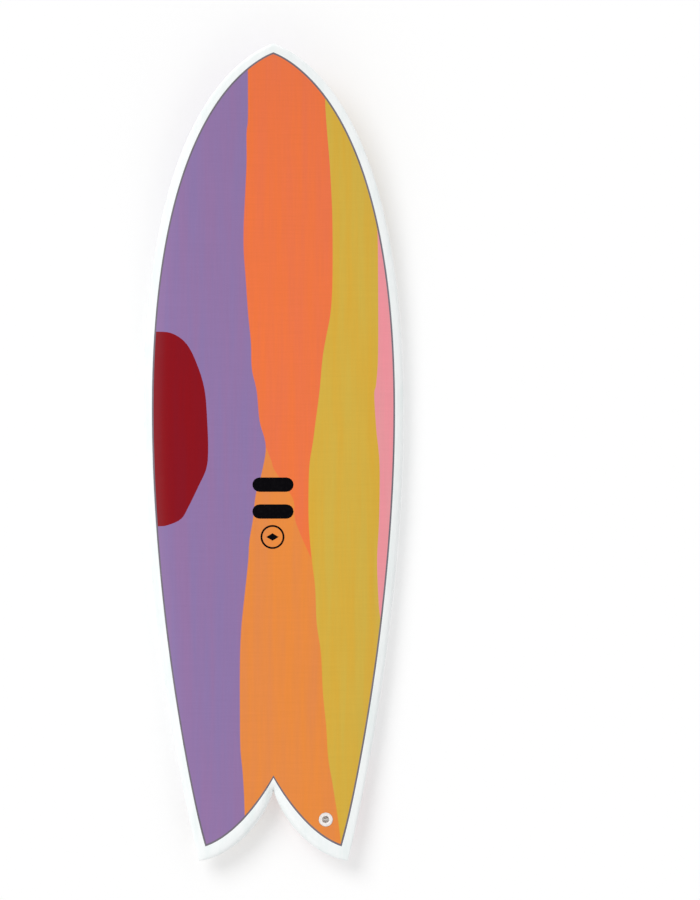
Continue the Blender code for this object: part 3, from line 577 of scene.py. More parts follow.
@dataclass(frozen=True)
class SweepPaper(Finish):
    """Matt white paper on a softly lit table, which keeps the shadows pale."""

    name: str = "sweep_paper"
    colour: str = "#CFCFCF"
    glow: float = 0.37

    def constants(self) -> dict:
        """Shader sockets of matt paper lit from below."""
        return {"Roughness": 0.9, "Specular IOR Level": 0.0, "Emission Strength": self.glow,
                "Emission Color": (1.0, 1.0, 1.0, 1.0)}

    def vary(self, tree: bpy.types.NodeTree, place: bpy.types.NodeSocket) -> dict:
        """Build the paper's fibre, and let the eye through from underneath.

        Args:
            tree: node tree of the material.
            place: object coordinates.

        Returns:
            Shader sockets with the outputs that feed them.
        """
        fibre = add_node(tree, "ShaderNodeTexNoise", {"Scale": 300.0, "Detail": 2.0}, {"Vector": place})
        base = linear(self.colour)
        mixed = add_node(tree, "ShaderNodeMix", {
            "data_type": "RGBA", MIX_A: shade(base, 0.99), MIX_B: base}, {0: fibre.outputs["Fac"]})
        behind = add_node(tree, "ShaderNodeNewGeometry").outputs["Backfacing"]
        clear = add_node(tree, "ShaderNodeBsdfTransparent").outputs[0]
        paper = tree.nodes["Principled BSDF"].outputs[0]
        both = add_node(tree, "ShaderNodeMixShader", {}, {0: behind, 1: paper, 2: clear})
        tree.links.new(both.outputs[0], tree.nodes["Material Output"].inputs["Surface"])
        return {"Base Color": mixed.outputs[MIX_RESULT]}


class Colour(Enum):
    """Dyed cloths of the art, by the name used in the parts."""

    PURPLE = LaminatedCloth("purple_cloth", "#9475A5", "#8E77A9")
    CRIMSON = LaminatedCloth("crimson_cloth", "#871622", "#8C131C")
    CORAL = LaminatedCloth("coral_cloth", "#EC764B", "#F07842")
    ORANGE = LaminatedCloth("orange_cloth", "#E58A4A", "#EA8C40")
    MUSTARD = LaminatedCloth("mustard_cloth", "#D3B148", "#D9AC3E")
    PINK = LaminatedCloth("pink_cloth", "#F0949E", "#E8999F")

    @property
    def word(self) -> str:
        """Lower-case word used in node names."""
        return self.name.lower()


# ---------------------------------------------------------------- shape of the board

def curve(handles: Sequence[Sequence[float]], shares: np.ndarray) -> Plan:
    """Points on a four-handle curve.

    Args:
        handles: four plan points.
        shares: values from 0 to 1.

    Returns:
        One row of x and y for each share.
    """
    t = np.asarray(shares, float)[:, None]
    a, b, c, d = (np.asarray(handle, float) for handle in handles)
    return (1 - t) ** 3 * a + 3 * t * (1 - t) ** 2 * b + 3 * t * t * (1 - t) * c + t ** 3 * d


def smooth_line(points: Sequence[Sequence[float]], steps: int = 6, closed: bool = False) -> Plan:
    """Smooth line through template points.

    Args:
        points: plan points in millimetres.
        steps: points laid on each span.
        closed: whether the line returns to its start.

    Returns:
        Plan points in metres.
    """
    given = np.asarray(points, float) * MM
    count = len(given)
    rows = []
    for index in range(count if closed else count - 1):
        spots = [index + shift for shift in (-1, 0, 1, 2)]
        wrapped = [spot % count if closed else min(count - 1, max(0, spot)) for spot in spots]
        a, b, c, d = (given[spot] for spot in wrapped)
        for part in range(steps):
            t = part / steps
            rows.append(0.5 * (2 * b + (c - a) * t + (2 * a - 5 * b + 4 * c - d) * t * t
                               + (3 * b - a - 3 * c + d) * t ** 3))
    if not closed:
        rows.append(given[-1])
    return np.array(rows)


def inside(points: Plan, outline: Plan) -> np.ndarray:
    """Which plan points lie inside a closed outline.

    Args:
        points: rows of x and y.
        outline: corners of the outline in order.

    Returns:
        One truth value for each point.
    """
    x, y = points[:, 0], points[:, 1]
    result = np.zeros(len(points), bool)
    for (ax, ay), (bx, by) in zip(outline, np.roll(outline, -1, axis=0)):
        if ay == by:
            continue
        crosses = (ay > y) != (by > y)
        result ^= crosses & (x < (bx - ax) * (y - ay) / (by - ay) + ax)
    return result


@dataclass(frozen=True)
class BoardShape:
    """The shaper's numbers: plan shape, rocker, foil and rail, in metres."""

    half_length: float = 0.851
    thickness: float = 0.067
    thickest_y: float = 0.050
    nose_thickness: float = 0.015
    tail_thickness: float = 0.016
    nose_taper: float = 1.4         # the larger, the sooner the foil thins toward that end
    tail_taper: float = 1.04
    tail_fullness: float = 2.2      # the larger, the longer the foil stays full behind the middle
    nose_rocker: float = 0.115
    tail_rocker: float = 0.045
    nose_flip: float = 2.6          # the larger, the later the bottom starts to rise
    tail_flip: float = 2.2
    flat_y: float = -0.050          # where the board touches the floor
    apex: float = 0.42              # height of the rail's widest line, as a share of the foil
    deck_crown: float = 2.5         # the larger, the flatter the deck stays before it rolls down
    deck_roll: float = 2.6          # the larger, the squarer the rail
    bottom_edge: float = 12.0       # the same for the bottom, whose rail sharpens toward the tail
    bottom_edge_gain: float = 14.0
    bottom_roll: float = 2.2
    sharpening_y: float = 0.2       # where the sharpening starts
    sharpening_run: float = 0.7     # how far it takes to be complete
    edge_round: float = 0.018       # reach of the rounding at the notch and at the nose tip
    notch_zone_y: float = -0.6      # behind this the notch is rounded, ahead of it the nose tip
    line_samples: int = 400         # points that each curve is read from
    notch_samples: int = 500
    thinnest: float = 1e-6          # keeps the powers finite on the very edge
    narrowest: float = 1e-9         # keeps the division finite at the nose tip
    nose_rail: tuple = ((0.0, 0.851), (0.126, 0.803), (0.271, 0.606), (0.271, 0.090))
    tail_rail: tuple = ((0.271, 0.090), (0.271, -0.293), (0.200, -0.673), (0.155, -0.851))
    notch_edge: tuple = ((0.0, -0.705), (0.016, -0.762), (0.080, -0.842), (0.155, -0.851))
    notch_art: tuple = ((0.0, -0.678), (0.023, -0.720), (0.077, -0.799), (0.142, -0.821))

    def half_width(self, y: np.ndarray) -> np.ndarray:
        """Half width of the plan shape.

        Args:
            y: places along the board.

        Returns:
            One half width for each place.
        """
        shares = np.linspace(0, 1, self.line_samples)
        dense = np.vstack([curve(self.tail_rail, shares[::-1]), curve(self.nose_rail, shares[::-1])])
        return np.interp(y, dense[:, 1], dense[:, 0])

    def rocker(self, y: np.ndarray) -> np.ndarray:
        """Height of the bottom's centreline above the floor.

        Args:
            y: places along the board.

        Returns:
            One height for each place.
        """
        ahead = np.clip((y - self.flat_y) / (self.half_length - self.flat_y), 0, None)
        behind = np.clip((self.flat_y - y) / (self.half_length + self.flat_y), 0, None)
        return self.nose_rocker * ahead ** self.nose_flip + self.tail_rocker * behind ** self.tail_flip

    def foil(self, y: np.ndarray) -> np.ndarray:
        """Thickness along the centreline.

        Args:
            y: places along the board.

        Returns:
            One thickness for each place.
        """
        ahead = np.clip((y - self.thickest_y) / (self.half_length - self.thickest_y), 0, 1)
        behind = np.clip((self.thickest_y - y) / (self.half_length + self.thickest_y), 0, 1)
        nose_share = (1 - ahead ** 2) ** self.nose_taper
        tail_share = (1 - behind ** self.tail_fullness) ** self.tail_taper
        nose = self.nose_thickness + (self.thickness - self.nose_thickness) * nose_share
        tail = self.tail_thickness + (self.thickness - self.tail_thickness) * tail_share
        return np.where(y > self.thickest_y, nose, tail)

    def apex_height(self, y: np.ndarray) -> np.ndarray:
        """Height of the rail's widest line at each y."""
        return self.rocker(y) + self.apex * self.foil(y)

    def edge_rounding(self, spots: Plan) -> np.ndarray:
        """1 inside the board, falling to 0 at the notch edge and at the nose tip.

        Args:
            spots: plan points.

        Returns:
            One value for each point.
        """
        reach = self.half_length - spots[:, 1]
        notch = curve(self.notch_edge, np.linspace(0, 1, self.notch_samples))
        near = spots[:, 1] < self.notch_zone_y
        if near.any():
            folded = np.column_stack([np.abs(spots[near, 0]), spots[near, 1]])
            gaps = np.linalg.norm(folded[:, None, :] - notch[None, :, :], axis=2)
            reach = reach.copy()
            reach[near] = gaps.min(axis=1)
        share = np.clip(reach / self.edge_round, 0, 1)
        return np.sqrt(np.clip(1 - (1 - share) ** 2, 0, None))

    def heights(self, face: Face, spots: Plan) -> np.ndarray:
        """Height of the deck or of the bottom.

        Args:
            face: which face.
            spots: plan points.

        Returns:
            One z for each point.
        """
        x, y = spots[:, 0], spots[:, 1]
        share = np.clip(np.abs(x) / np.maximum(self.half_width(y), self.narrowest), 0, 1)
        if face is Face.DECK:
            flatness, roll, way = self.deck_crown, self.deck_roll, 1 - self.apex
        else:
            gain = np.clip((self.sharpening_y - y) / self.sharpening_run, 0, 1)
            flatness = self.bottom_edge + self.bottom_edge_gain * gain
            roll, way = self.bottom_roll, -self.apex
        across = np.maximum(self.thinnest, np.clip(1 - share ** flatness, 0, None) ** (1 / roll))
        along = np.maximum(self.thinnest, self.edge_rounding(spots))
        fullness = (across ** -2 + along ** -2 - 1) ** -0.5
        return self.apex_height(y) + way * self.foil(y) * fullness


@dataclass(frozen=True)
class Outline:
    """The board's edge as one loop of stations: notch, right rail, nose, left rail, notch.

    Station 0 is the crotch of the swallow tail, and the stations run anticlockwise from above.
    """

    shape: BoardShape
    notch_steps: int = 30
    tail_steps: int = 66
    nose_steps: int = 78
    corner_steps: int = 18      # stations over which the art's edge slides into a corner
    seam_steps: int = 6         # stations from the tail tip to the joint of tail lap and rail lap
    line_stretch: tuple = (0.9, 1.5)    # least and greatest share of its width beside a corner

    @property
    def side_steps(self) -> int:
        """Stations from the crotch to the nose."""
        return self.notch_steps + self.tail_steps + self.nose_steps

    @property
    def count(self) -> int:
        """Stations round the whole board."""
        return 2 * self.side_steps

    @property
    def tail_reach(self) -> int:
        """Stations from the crotch to the joint of tail lap and rail lap."""
        return self.notch_steps + self.seam_steps

    def right_edge(self) -> Plan:
        """Lay the edge on the right.

        Returns:
            Plan points from the crotch to the nose.
        """
        shape = self.shape
        notch = curve(shape.notch_edge, np.linspace(0, 1, self.notch_steps + 1))
        tail = curve(shape.tail_rail, np.linspace(1, 0, self.tail_steps + 1))[1:]
        nose = curve(shape.nose_rail, np.linspace(1, 0, self.nose_steps + 1))[1:]
        return np.vstack([notch, tail, nose])

    def right_art(self, band: float) -> Plan:
        """Outer edge of the pinline beside each station on the right.

        Args:
            band: width of the white rail band.

        Returns:
            Plan points from the crotch to the nose.
        """
        edge = self.right_edge()
        notch = curve(self.shape.notch_art, np.linspace(0, 1, self.notch_steps + 1))
        rail = edge[self.notch_steps:]
        run = np.gradient(rail, axis=0)
        run /= np.linalg.norm(run, axis=1)[:, None]
        inward = np.column_stack([-run[:, 1], run[:, 0]])
        art = rail + inward * band
        steps = np.arange(len(rail))
        at_tail = np.clip(1 - steps / self.corner_steps, 0, 1)[:, None] ** 2
        at_nose = np.clip(1 - (len(rail) - 1 - steps) / self.corner_steps, 0, 1)[:, None] ** 2
        art += (notch[-1] - art[0]) * at_tail
        art -= run[-1] * (art[-1, 0] / run[-1, 0]) * at_nose
        art[-1, 0] = 0.0
        return np.vstack([notch, art[1:]])

    def right_cloth(self, band: float, line: float) -> Plan:
        """Inner edge of the pinline beside each station on the right.

        Args:
            band: width of the white rail band.
            line: width of the pinline.

        Returns:
            Plan points from the crotch to the nose.
        """
        edge, art = self.right_edge(), self.right_art(band)
        way = art - edge
        length = np.linalg.norm(way, axis=1)[:, None]
        scale = np.clip(length / band, *self.line_stretch)
        cloth = art + way / length * line * scale
        cloth[0, 0] = cloth[-1, 0] = 0.0
        return cloth

    def loop(self, right: Plan) -> Plan:
        """Close a right-hand run of stations with its mirror image.

        Args:
            right: plan points from the crotch to the nose.

        Returns:
            One point for every station of the whole board.
        """
        left = right[-2:0:-1] * (-1, 1)
        return np.vstack([right, left])

    def is_tail(self, station: int) -> bool:
        """Whether the span after this station belongs to the tail lap."""
        return station < self.tail_reach or station >= self.count - self.tail_reach


# ---------------------------------------------------------------- art and marks

def stadium(centre: Sequence[float], length: float, width: float, turn: float = 0.0,
            steps: int = 16) -> Plan:
    """Outline of a slot with round ends.

    Args:
        centre: plan point of its middle.
        length: overall length along y.
        width: overall width.
        turn: angle of its long way from y, anticlockwise.
        steps: spans round each end.

    Returns:
        Plan points of the closed outline.
    """
    radius, straight = width / 2, length / 2 - width / 2
    angles = np.linspace(0, math.pi, steps + 1)
    top = np.column_stack([radius * np.cos(angles), straight + radius * np.sin(angles)])
    points = np.vstack([top, -top])
    cos, sin = math.cos(turn), math.sin(turn)
    return points @ np.array([[cos, sin], [-sin, cos]]) + np.asarray(centre, float)


def ring(centre: Sequence[float], radius: float, steps: int = 48) -> Plan:
    """Plan points of a circle round a centre."""
    angles = np.arange(steps) * math.tau / steps
    return np.column_stack([np.cos(angles), np.sin(angles)]) * radius + np.asarray(centre, float)


def lozenge(centre: Sequence[float], width: float, height: float) -> Plan:
    """Plan points of a diamond round a centre."""
    corners = np.array([[width / 2, 0], [0, height / 2], [-width / 2, 0], [0, -height / 2]])
    return corners + np.asarray(centre, float)


def beside(line: Plan, far: float) -> Plan:
    """Closed outline between a tail-to-nose line and a far x."""
    return np.vstack([line, [[far, line[-1, 1]], [far, line[0, 1]]]])


@dataclass(frozen=True)
class Art:
    """Coloured cloths and printed marks of one face.

    Regions are tried in order, and the first that holds a spot gives its colour.
    """

    face: Face
    lines: tuple[Plan, ...]
    regions: tuple[tuple[Colour, Plan], ...]
    ground: Colour
    stripes: tuple[Plan, ...]
    roundels: tuple[tuple[float, float, float], ...]    # centre and radius
    hole_share: float = 0.84                            # inside of the ring, of its radius
    lozenge_shares: tuple[float, float] = (1.05, 0.62)  # width and height, of its radius

    def roundel_lines(self, x: float, y: float, radius: float) -> tuple[Plan, Plan, Plan]:
        """Outlines of one roundel.

        Args:
            x: middle across the board.
            y: middle along the board.
            radius: outside of the ring.

        Returns:
            Outer ring, inner ring and lozenge.
        """
        width, height = (radius * share for share in self.lozenge_shares)
        return (ring((x, y), radius), ring((x, y), radius * self.hole_share),
                lozenge((x, y), width, height))

    def mark_lines(self) -> list[Plan]:
        """Closed outlines of every printed mark.

        Returns:
            Stripes, then outer ring, inner ring and lozenge of each roundel.
        """
        lines = list(self.stripes)
        for roundel in self.roundels:
            lines += self.roundel_lines(*roundel)
        return lines

    def printed(self, spots: Plan) -> np.ndarray:
        """Which plan points lie on a printed mark.

        Args:
            spots: plan points.

        Returns:
            One truth value for each point.
        """
        result = np.zeros(len(spots), bool)
        for stripe in self.stripes:
            result |= inside(spots, stripe)
        for roundel in self.roundels:
            outer, inner, middle = self.roundel_lines(*roundel)
            result |= inside(spots, outer) & ~inside(spots, inner)
            result |= inside(spots, middle)
        return result

    def colours(self, spots: Plan) -> np.ndarray:
        """Colour that each plan point takes.

        Args:
            spots: plan points.

        Returns:
            Members of Colour, one for each point.
        """
        result = np.full(len(spots), self.ground, object)
        open_spots = np.ones(len(spots), bool)
        for colour, outline in self.regions:
            hit = open_spots & inside(spots, outline)
            result[hit] = colour
            open_spots &= ~hit
        return result


def stripe_pair(x: float, rows: Sequence[float], length: float, width: float) -> tuple[Plan, ...]:
    """Two plain round-ended stripes that lie across the board.

    Args:
        x: middle of the stripes.
        rows: y of each stripe.
        length: size of each across the board.
        width: size of each along the board.

    Returns:
        One outline for each stripe.
    """
    return tuple(stadium((x, y), length, width, turn=math.pi / 2, steps=8) for y in rows)


def deck_art() -> Art:
    """Cloths and marks of the deck.

    Returns:
        The deck's art, laid from the template points in millimetres.
    """
    purple = smooth_line((
        (-60, -900), (-60, -757), (-64, -671), (-69, -617), (-70, -544), (-70, -435), (-67, -364),
        (-60, -296), (-53, -229), (-50, -183), (-43, -141), (-37, -88), (-26, -49), (-16, 12),
        (-29, 66), (-35, 128), (-45, 174), (-47, 229), (-53, 291), (-58, 364), (-62, 419),
        (-62, 473), (-59, 536), (-56, 605), (-56, 665), (-53, 696), (-53, 791), (-53, 900)))
    mustard = smooth_line((
        (146, -900), (141, -818), (137, -784), (133, -753), (123, -690), (114, -636), (110, -572),
        (103, -500), (99, -419), (90, -354), (87, -283), (80, -224), (74, -158), (73, -88),
        (75, -26), (82, 20), (88, 66), (96, 128), (102, 194), (109, 237), (119, 291), (123, 360),
        (123, 473), (121, 536), (117, 605), (112, 665), (108, 726), (100, 900)))
    tip = smooth_line((
        (-16, 12), (-4, -18), (3, -38), (40, -95), (44, -135), (54, -165), (67, -195), (80, -224)))
    pink = smooth_line((
        (232, -400), (226, -371), (222, -341), (219, -310), (216, -224), (220, -141), (221, -26),
        (214, 51), (210, 120), (214, 143), (218, 206), (218, 360), (216, 471), (206, 520)))
    crimson = smooth_line((
        (-300, -154), (-242, -154), (-219, -151), (-192, -138), (-176, -111), (-157, -72),
        (-140, -34), (-136, 5), (-138, 67), (-143, 128), (-157, 178), (-180, 225), (-211, 248),
        (-248, 252), (-300, 252)))
    tail, above, tip_left, tip_end = -1.0, 0.03, -0.03, -0.225     # closes the region round its tip
    behind_tip = np.vstack([[[-FAR, tail], [-FAR, above], [tip_left, above]], tip,
                            [[FAR, tip_end], [FAR, tail]]])
    return Art(
        Face.DECK, (purple, mustard, tip, pink, crimson),
        ((Colour.PINK, beside(pink, FAR)), (Colour.MUSTARD, beside(mustard, FAR)),
         (Colour.CRIMSON, beside(crimson, -FAR)), (Colour.PURPLE, beside(purple, -FAR)),
         (Colour.ORANGE, behind_tip)),
        Colour.CORAL, stripe_pair(-0.001, (-0.067, -0.123), 0.086, 0.030),
        ((-0.002, -0.176, 0.025),))


def bottom_art() -> Art:
    """Cloths and marks of the bottom.

    Returns:
        The bottom's art, laid from the template points in millimetres.
    """
    purple = smooth_line((
        (-136, -900), (-130, -807), (-124, -714), (-119, -636), (-113, -554), (-105, -474),
        (-101, -396), (-95, -336), (-90, -275), (-81, -198), (-74, -121), (-67, -31), (-62, 9),
        (-54, 67), (-51, 101), (-42, 170), (-32, 270), (-20, 368), (-9, 434), (1, 477), (11, 541),
        (22, 600), (37, 656), (49, 725), (63, 775), (90, 900)))
    coral = smooth_line((
        (-50, -900), (-43, -724), (-35, -670), (-24, -618), (-15, -574), (-3, -522), (10, -474),
        (19, -413), (28, -355), (37, -315), (44, -256), (56, -190), (74, -110), (98, -30),
        (130, 45), (170, 110), (215, 165), (300, 230)))
    pink = smooth_line((
        (50, -900), (66, -762), (72, -726), (82, -691), (89, -656), (100, -618), (112, -560),
        (124, -490), (138, -420), (156, -350), (180, -285), (212, -225), (250, -180), (300, -150)))
    crimson = smooth_line((
        (-310, -340), (-255, -322), (-230, -308), (-209, -287), (-192, -256), (-182, -213),
        (-175, -167), (-173, -114), (-176, -79), (-183, -37), (-201, 1), (-229, 39), (-253, 67),
        (-310, 100)))
    oval = smooth_line((
        (-46, 105), (-70, 122), (-84, 157), (-92, 205), (-90, 253), (-82, 303), (-61, 341),
        (-28, 370), (-4, 358), (8, 330), (13, 284), (11, 232), (6, 192), (-1, 157), (-18, 126)),
        closed=True)
    tail_corner = [[FAR, -0.9]]     # closes both regions past the right tail tip
    behind_pink = np.vstack([pink, tail_corner])
    behind_coral = np.vstack([coral, tail_corner])
    return Art(
        Face.BOTTOM, (purple, coral, pink, crimson, np.vstack([oval, oval[:1]])),
        ((Colour.PINK, behind_pink), (Colour.CORAL, behind_coral), (Colour.ORANGE, oval),
         (Colour.CRIMSON, beside(crimson, -FAR)), (Colour.PURPLE, beside(purple, -FAR))),
        Colour.MUSTARD, stripe_pair(-0.0015, (-0.0515, -0.1075), 0.087, 0.029),
        ((0.0, -0.160, 0.023), (-0.002, -0.258, 0.021)))


# ---------------------------------------------------------------- the glassed skin

def densify(line: Plan, step: float) -> Plan:
    """Add points to a line so that no span is longer than a step.

    Args:
        line: plan points of an open line.
        step: longest span allowed.

    Returns:
        The line with its added points.
    """
    rows = [line[0]]
    for start, end in zip(line, line[1:]):
        parts = max(1, math.ceil(np.linalg.norm(end - start) / step))
        rows += [start + (end - start) * part / parts for part in range(1, parts + 1)]
    return np.array(rows)


@dataclass
class Sketch:
    """Plan points and the edges that the surface has to follow."""

    points: list = field(default_factory=list)
    edges: list = field(default_factory=list)

    def add_line(self, line: Plan, closed: bool = False, keep: np.ndarray | None = None) -> int:
        """Add a line whose spans become edges of the surface.

        Args:
            line: plan points.
            closed: whether the last point joins the first.
            keep: which spans to use, one truth value each, or all of them.

        Returns:
            Number of the line's first point.
        """
        first = len(self.points)
        self.points += [tuple(point) for point in line]
        for index in range(len(line) if closed else len(line) - 1):
            if keep is None or keep[index]:
                self.edges.append((first + index, first + (index + 1) % len(line)))
        return first

    def guides(self, step: float) -> Plan:
        """Spots along every edge.

        Args:
            step: widest gap allowed between two spots.

        Returns:
            Plan points on the edges.
        """
        rows = []
        for start, end in self.edges:
            rows.append(densify(np.array([self.points[start], self.points[end]]), step))
        return np.vstack(rows)


@dataclass
class Skin:
    """The board's whole outer surface, in named pieces that meet without a crack."""

    outline: Outline
    arts: tuple[Art, ...]
    cuts: dict                      # Face to the outlines of its routed holes
    deck_band: float = 0.0175
    bottom_band: float = 0.021
    line_width: float = 0.0035
    thickness: float = 0.0012
    mesh_step: float = 0.011
    row_share: float = 0.87         # rows of points stand this share of a step apart
    drawn_step: float = 0.006       # longest span on a drawn line
    guide_step: float = 0.003       # gap between the spots that distances are taken to
    guides_at_once: int = 400       # bounds the memory that the distances take
    clearance: float = 0.0045       # least distance from a mesh point to an edge it must follow
    merge: float = 1e-6             # points nearer than this become one
    pinline_break: float = -0.620   # the fin boxes interrupt the bottom pinline here
    rim_shares: tuple = (0.0, 0.003, 0.012, 0.028, 0.052, 0.085, 0.125, 0.17, 0.22, 0.28, 0.35)
    lap_shares: tuple = (0.45, 0.56, 0.68, 0.8, 0.9)
    spots: list = field(default_factory=list)
    pieces: dict = field(default_factory=dict)      # piece name to its polygons
    normals: np.ndarray | None = None

    def build(self) -> None:
        """Lay the apex line, both faces and the smooth normals over all of it."""
        shape = self.outline.shape
        edge = self.outline.loop(self.outline.right_edge())
        heights = shape.apex_height(edge[:, 1])
        self.spots = [(x, y, z) for (x, y), z in zip(edge, heights)]
        for art in self.arts:
            self.lay_face(art)
        self.measure_normals()

    def put(self, name: str, polygon: Polygon, face: Face) -> None:
        """Give a polygon, listed anticlockwise from above, to a piece."""
        turned = polygon if face is Face.DECK else tuple(reversed(polygon))
        self.pieces.setdefault(name, []).append(turned)

    def lay_face(self, art: Art) -> None:
        """Lay one face: the rounded rim in rings, then everything inside it.

        Args:
            art: cloths and marks of the face.
        """
        outline, shape = self.outline, self.outline.shape
        band = self.deck_band if art.face is Face.DECK else self.bottom_band
        edge = outline.loop(outline.right_edge())
        line = outline.loop(outline.right_art(band))
        rings = [list(range(outline.count))]
        for share in self.rim_shares[1:]:
            spots = edge + (line - edge) * share
            rings.append(self.add_spots(spots, shape.heights(art.face, spots)))
        for outer, inner in zip(rings, rings[1:]):
            for station in range(outline.count):
                after = (station + 1) % outline.count
                polygon = (outer[station], outer[after], inner[after], inner[station])
                self.put(self.lap_name(station), polygon, art.face)
        self.fill_face(art, band, rings[-1])

    def add_spots(self, spots: Plan, heights: np.ndarray) -> list[int]:
        """Store points of the surface.

        Args:
            spots: plan points.
            heights: their z.

        Returns:
            Their numbers.
        """
        first = len(self.spots)
        self.spots += [(x, y, z) for (x, y), z in zip(spots, heights)]
        return list(range(first, len(self.spots)))

    def lap_name(self, station: int) -> str:
        """Name the lap strip that covers the span after a station.

        Args:
            station: number of the station.

        Returns:
            Name of a piece.
        """
        if self.outline.is_tail(station):
            return "tail_lap"
        return "rail_lap_right" if station < self.outline.side_steps else "rail_lap_left"

    def sketch_face(self, art: Art, band: float, rim: Plan) -> tuple[Sketch, Plan, Plan]:
        """Draw every edge that the inside of a face has to follow.

        Args:
            art: cloths and marks of the face.
            band: width of the white rail band.
            rim: innermost ring of the rounded rim.

        Returns:
            The sketch, and both edges of the pinline.
        """
        outline = self.outline
        edge = outline.loop(outline.right_edge())
        line = outline.loop(outline.right_art(band))
        cloth = outline.loop(outline.right_cloth(band, self.line_width))
        sketch = Sketch()
        first_rim = sketch.add_line(rim, closed=True)
        first_line = sketch.add_line(line, closed=True)
        sketch.add_line(cloth, closed=True)
        reach = outline.tail_reach
        for station in (reach, outline.count - reach, outline.side_steps):
            sketch.edges.append((first_rim + station, first_line + station))
        for drawn in art.lines:
            fine = densify(drawn, self.drawn_step)
            within = inside(fine, cloth)
            sketch.add_line(fine, keep=within[1:] | within[:-1])
        for drawn in art.mark_lines() + self.cuts[art.face]:
            loop = densify(np.vstack([drawn, drawn[:1]]), self.drawn_step)[:-1]
            sketch.add_line(loop, closed=True)
        self.add_mesh_points(sketch, edge, line, rim)
        return sketch, line, cloth

    def add_mesh_points(self, sketch: Sketch, edge: Plan, line: Plan, rim: Plan) -> None:
        """Fill the face with free points, clear of every drawn edge.

        Args:
            sketch: the sketch to add to.
            edge: the board's edge at every station.
            line: the pinline's outer edge at every station.
            rim: innermost ring of the rounded rim.
        """
        rows = [edge + (line - edge) * share for share in self.lap_shares]
        step = self.mesh_step
        low, high = rim.min(axis=0), rim.max(axis=0)
        for row, y in enumerate(np.arange(low[1], high[1], step * self.row_share)):
            xs = np.arange(low[0] + step / 2 * (row % 2), high[0], step)
            rows.append(np.column_stack([xs, np.full(len(xs), y)]))
        free = np.vstack(rows)
        free = free[inside(free, rim)]
        guides = sketch.guides(self.guide_step)
        nearest = np.full(len(free), np.inf)
        for start in range(0, len(guides), self.guides_at_once):
            some = guides[None, start:start + self.guides_at_once, :]
            gaps = np.linalg.norm(free[:, None, :] - some, axis=2)
            nearest = np.minimum(nearest, gaps.min(axis=1))
        sketch.points += [tuple(point) for point in free[nearest > self.clearance]]

    def fill_face(self, art: Art, band: float, rim_ring: list[int]) -> None:
        """Cover the inside of a face and give each triangle to its piece.

        Args:
            art: cloths and marks of the face.
            band: width of the white rail band.
            rim_ring: numbers of the innermost ring of the rounded rim.
        """
        rim = np.array([self.spots[number][:2] for number in rim_ring])
        sketch, line, cloth = self.sketch_face(art, band, rim)
        points = [Vector(point) for point in sketch.points]
        result = delaunay_2d_cdt(points, sketch.edges, [], 0, self.merge)
        plan = np.array([tuple(point) for point in result[0]])
        heights = self.outline.shape.heights(art.face, plan)
        numbers = self.add_spots(plan, heights)
        for made, sources in enumerate(result[3]):
            for source in sources:
                if source < len(rim_ring):
                    numbers[made] = rim_ring[source]
        triangles = np.array([tuple(triangle) for triangle in result[2] if len(triangle) == 3])
        a, b, c = (plan[triangles[:, corner]] for corner in range(3))
        turns = (b[:, 0] - a[:, 0]) * (c[:, 1] - a[:, 1]) - (b[:, 1] - a[:, 1]) * (c[:, 0] - a[:, 0])
        middles = (a + b + c) / 3
        names = self.name_triangles(art, middles, rim, line, cloth)
        for triangle, turn, name in zip(triangles, turns, names):
            if name and abs(turn) > NEARLY_ZERO:
                polygon = tuple(numbers[corner] for corner in triangle)
                self.put(name, polygon if turn > 0 else tuple(reversed(polygon)), art.face)

    def name_triangles(self, art: Art, middles: Plan, rim: Plan, line: Plan, cloth: Plan) -> list[str]:
        """Name the piece that each triangle belongs to.

        Args:
            art: cloths and marks of the face.
            middles: middle of each triangle.
            rim: innermost ring of the rounded rim.
            line: outer edge of the pinline.
            cloth: inner edge of the pinline.

        Returns:
            A piece name for each triangle, empty where there is no surface.
        """
        face = art.face.value
        kept = inside(middles, rim)
        for cut in self.cuts[art.face]:
            kept &= ~inside(middles, cut)
        in_line, in_cloth = inside(middles, line), inside(middles, cloth)
        reach = self.outline.tail_reach
        around = [station % self.outline.count for station in range(-reach, reach + 1)]
        tail = inside(middles, np.vstack([rim[around], line[around[::-1]]]))
        printed, colours = art.printed(middles), art.colours(middles)
        names = []
        for index, (x, y) in enumerate(middles):
            if not kept[index]:
                names.append("")
            elif not in_line[index]:
                side = "rail_lap_right" if x > 0 else "rail_lap_left"
                names.append("tail_lap" if tail[index] else side)
            elif not in_cloth[index]:
                part = "_front" if y > self.pinline_break else "_tail"
                names.append("deck_pinline" if face == "deck" else "bottom_pinline" + part)
            elif printed[index]:
                names.append(face + "_printed_marks")
            else:
                names.append(face + "_panel_" + colours[index].word)
        return names

    def measure_normals(self) -> None:
        """Average the faces round each point into one smooth outward direction."""
        spots = np.array(self.spots)
        total = np.zeros_like(spots)
        for polygons in self.pieces.values():
            for polygon in polygons:
                corners = spots[list(polygon)]
                normal = np.cross(corners[1] - corners[0], corners[2] - corners[0])
                if len(polygon) == 4:
                    normal = normal + np.cross(corners[2] - corners[0], corners[3] - corners[0])
                total[list(polygon)] += normal
        length = np.linalg.norm(total, axis=1)[:, None]
        self.normals = total / np.maximum(length, NEARLY_ZERO)

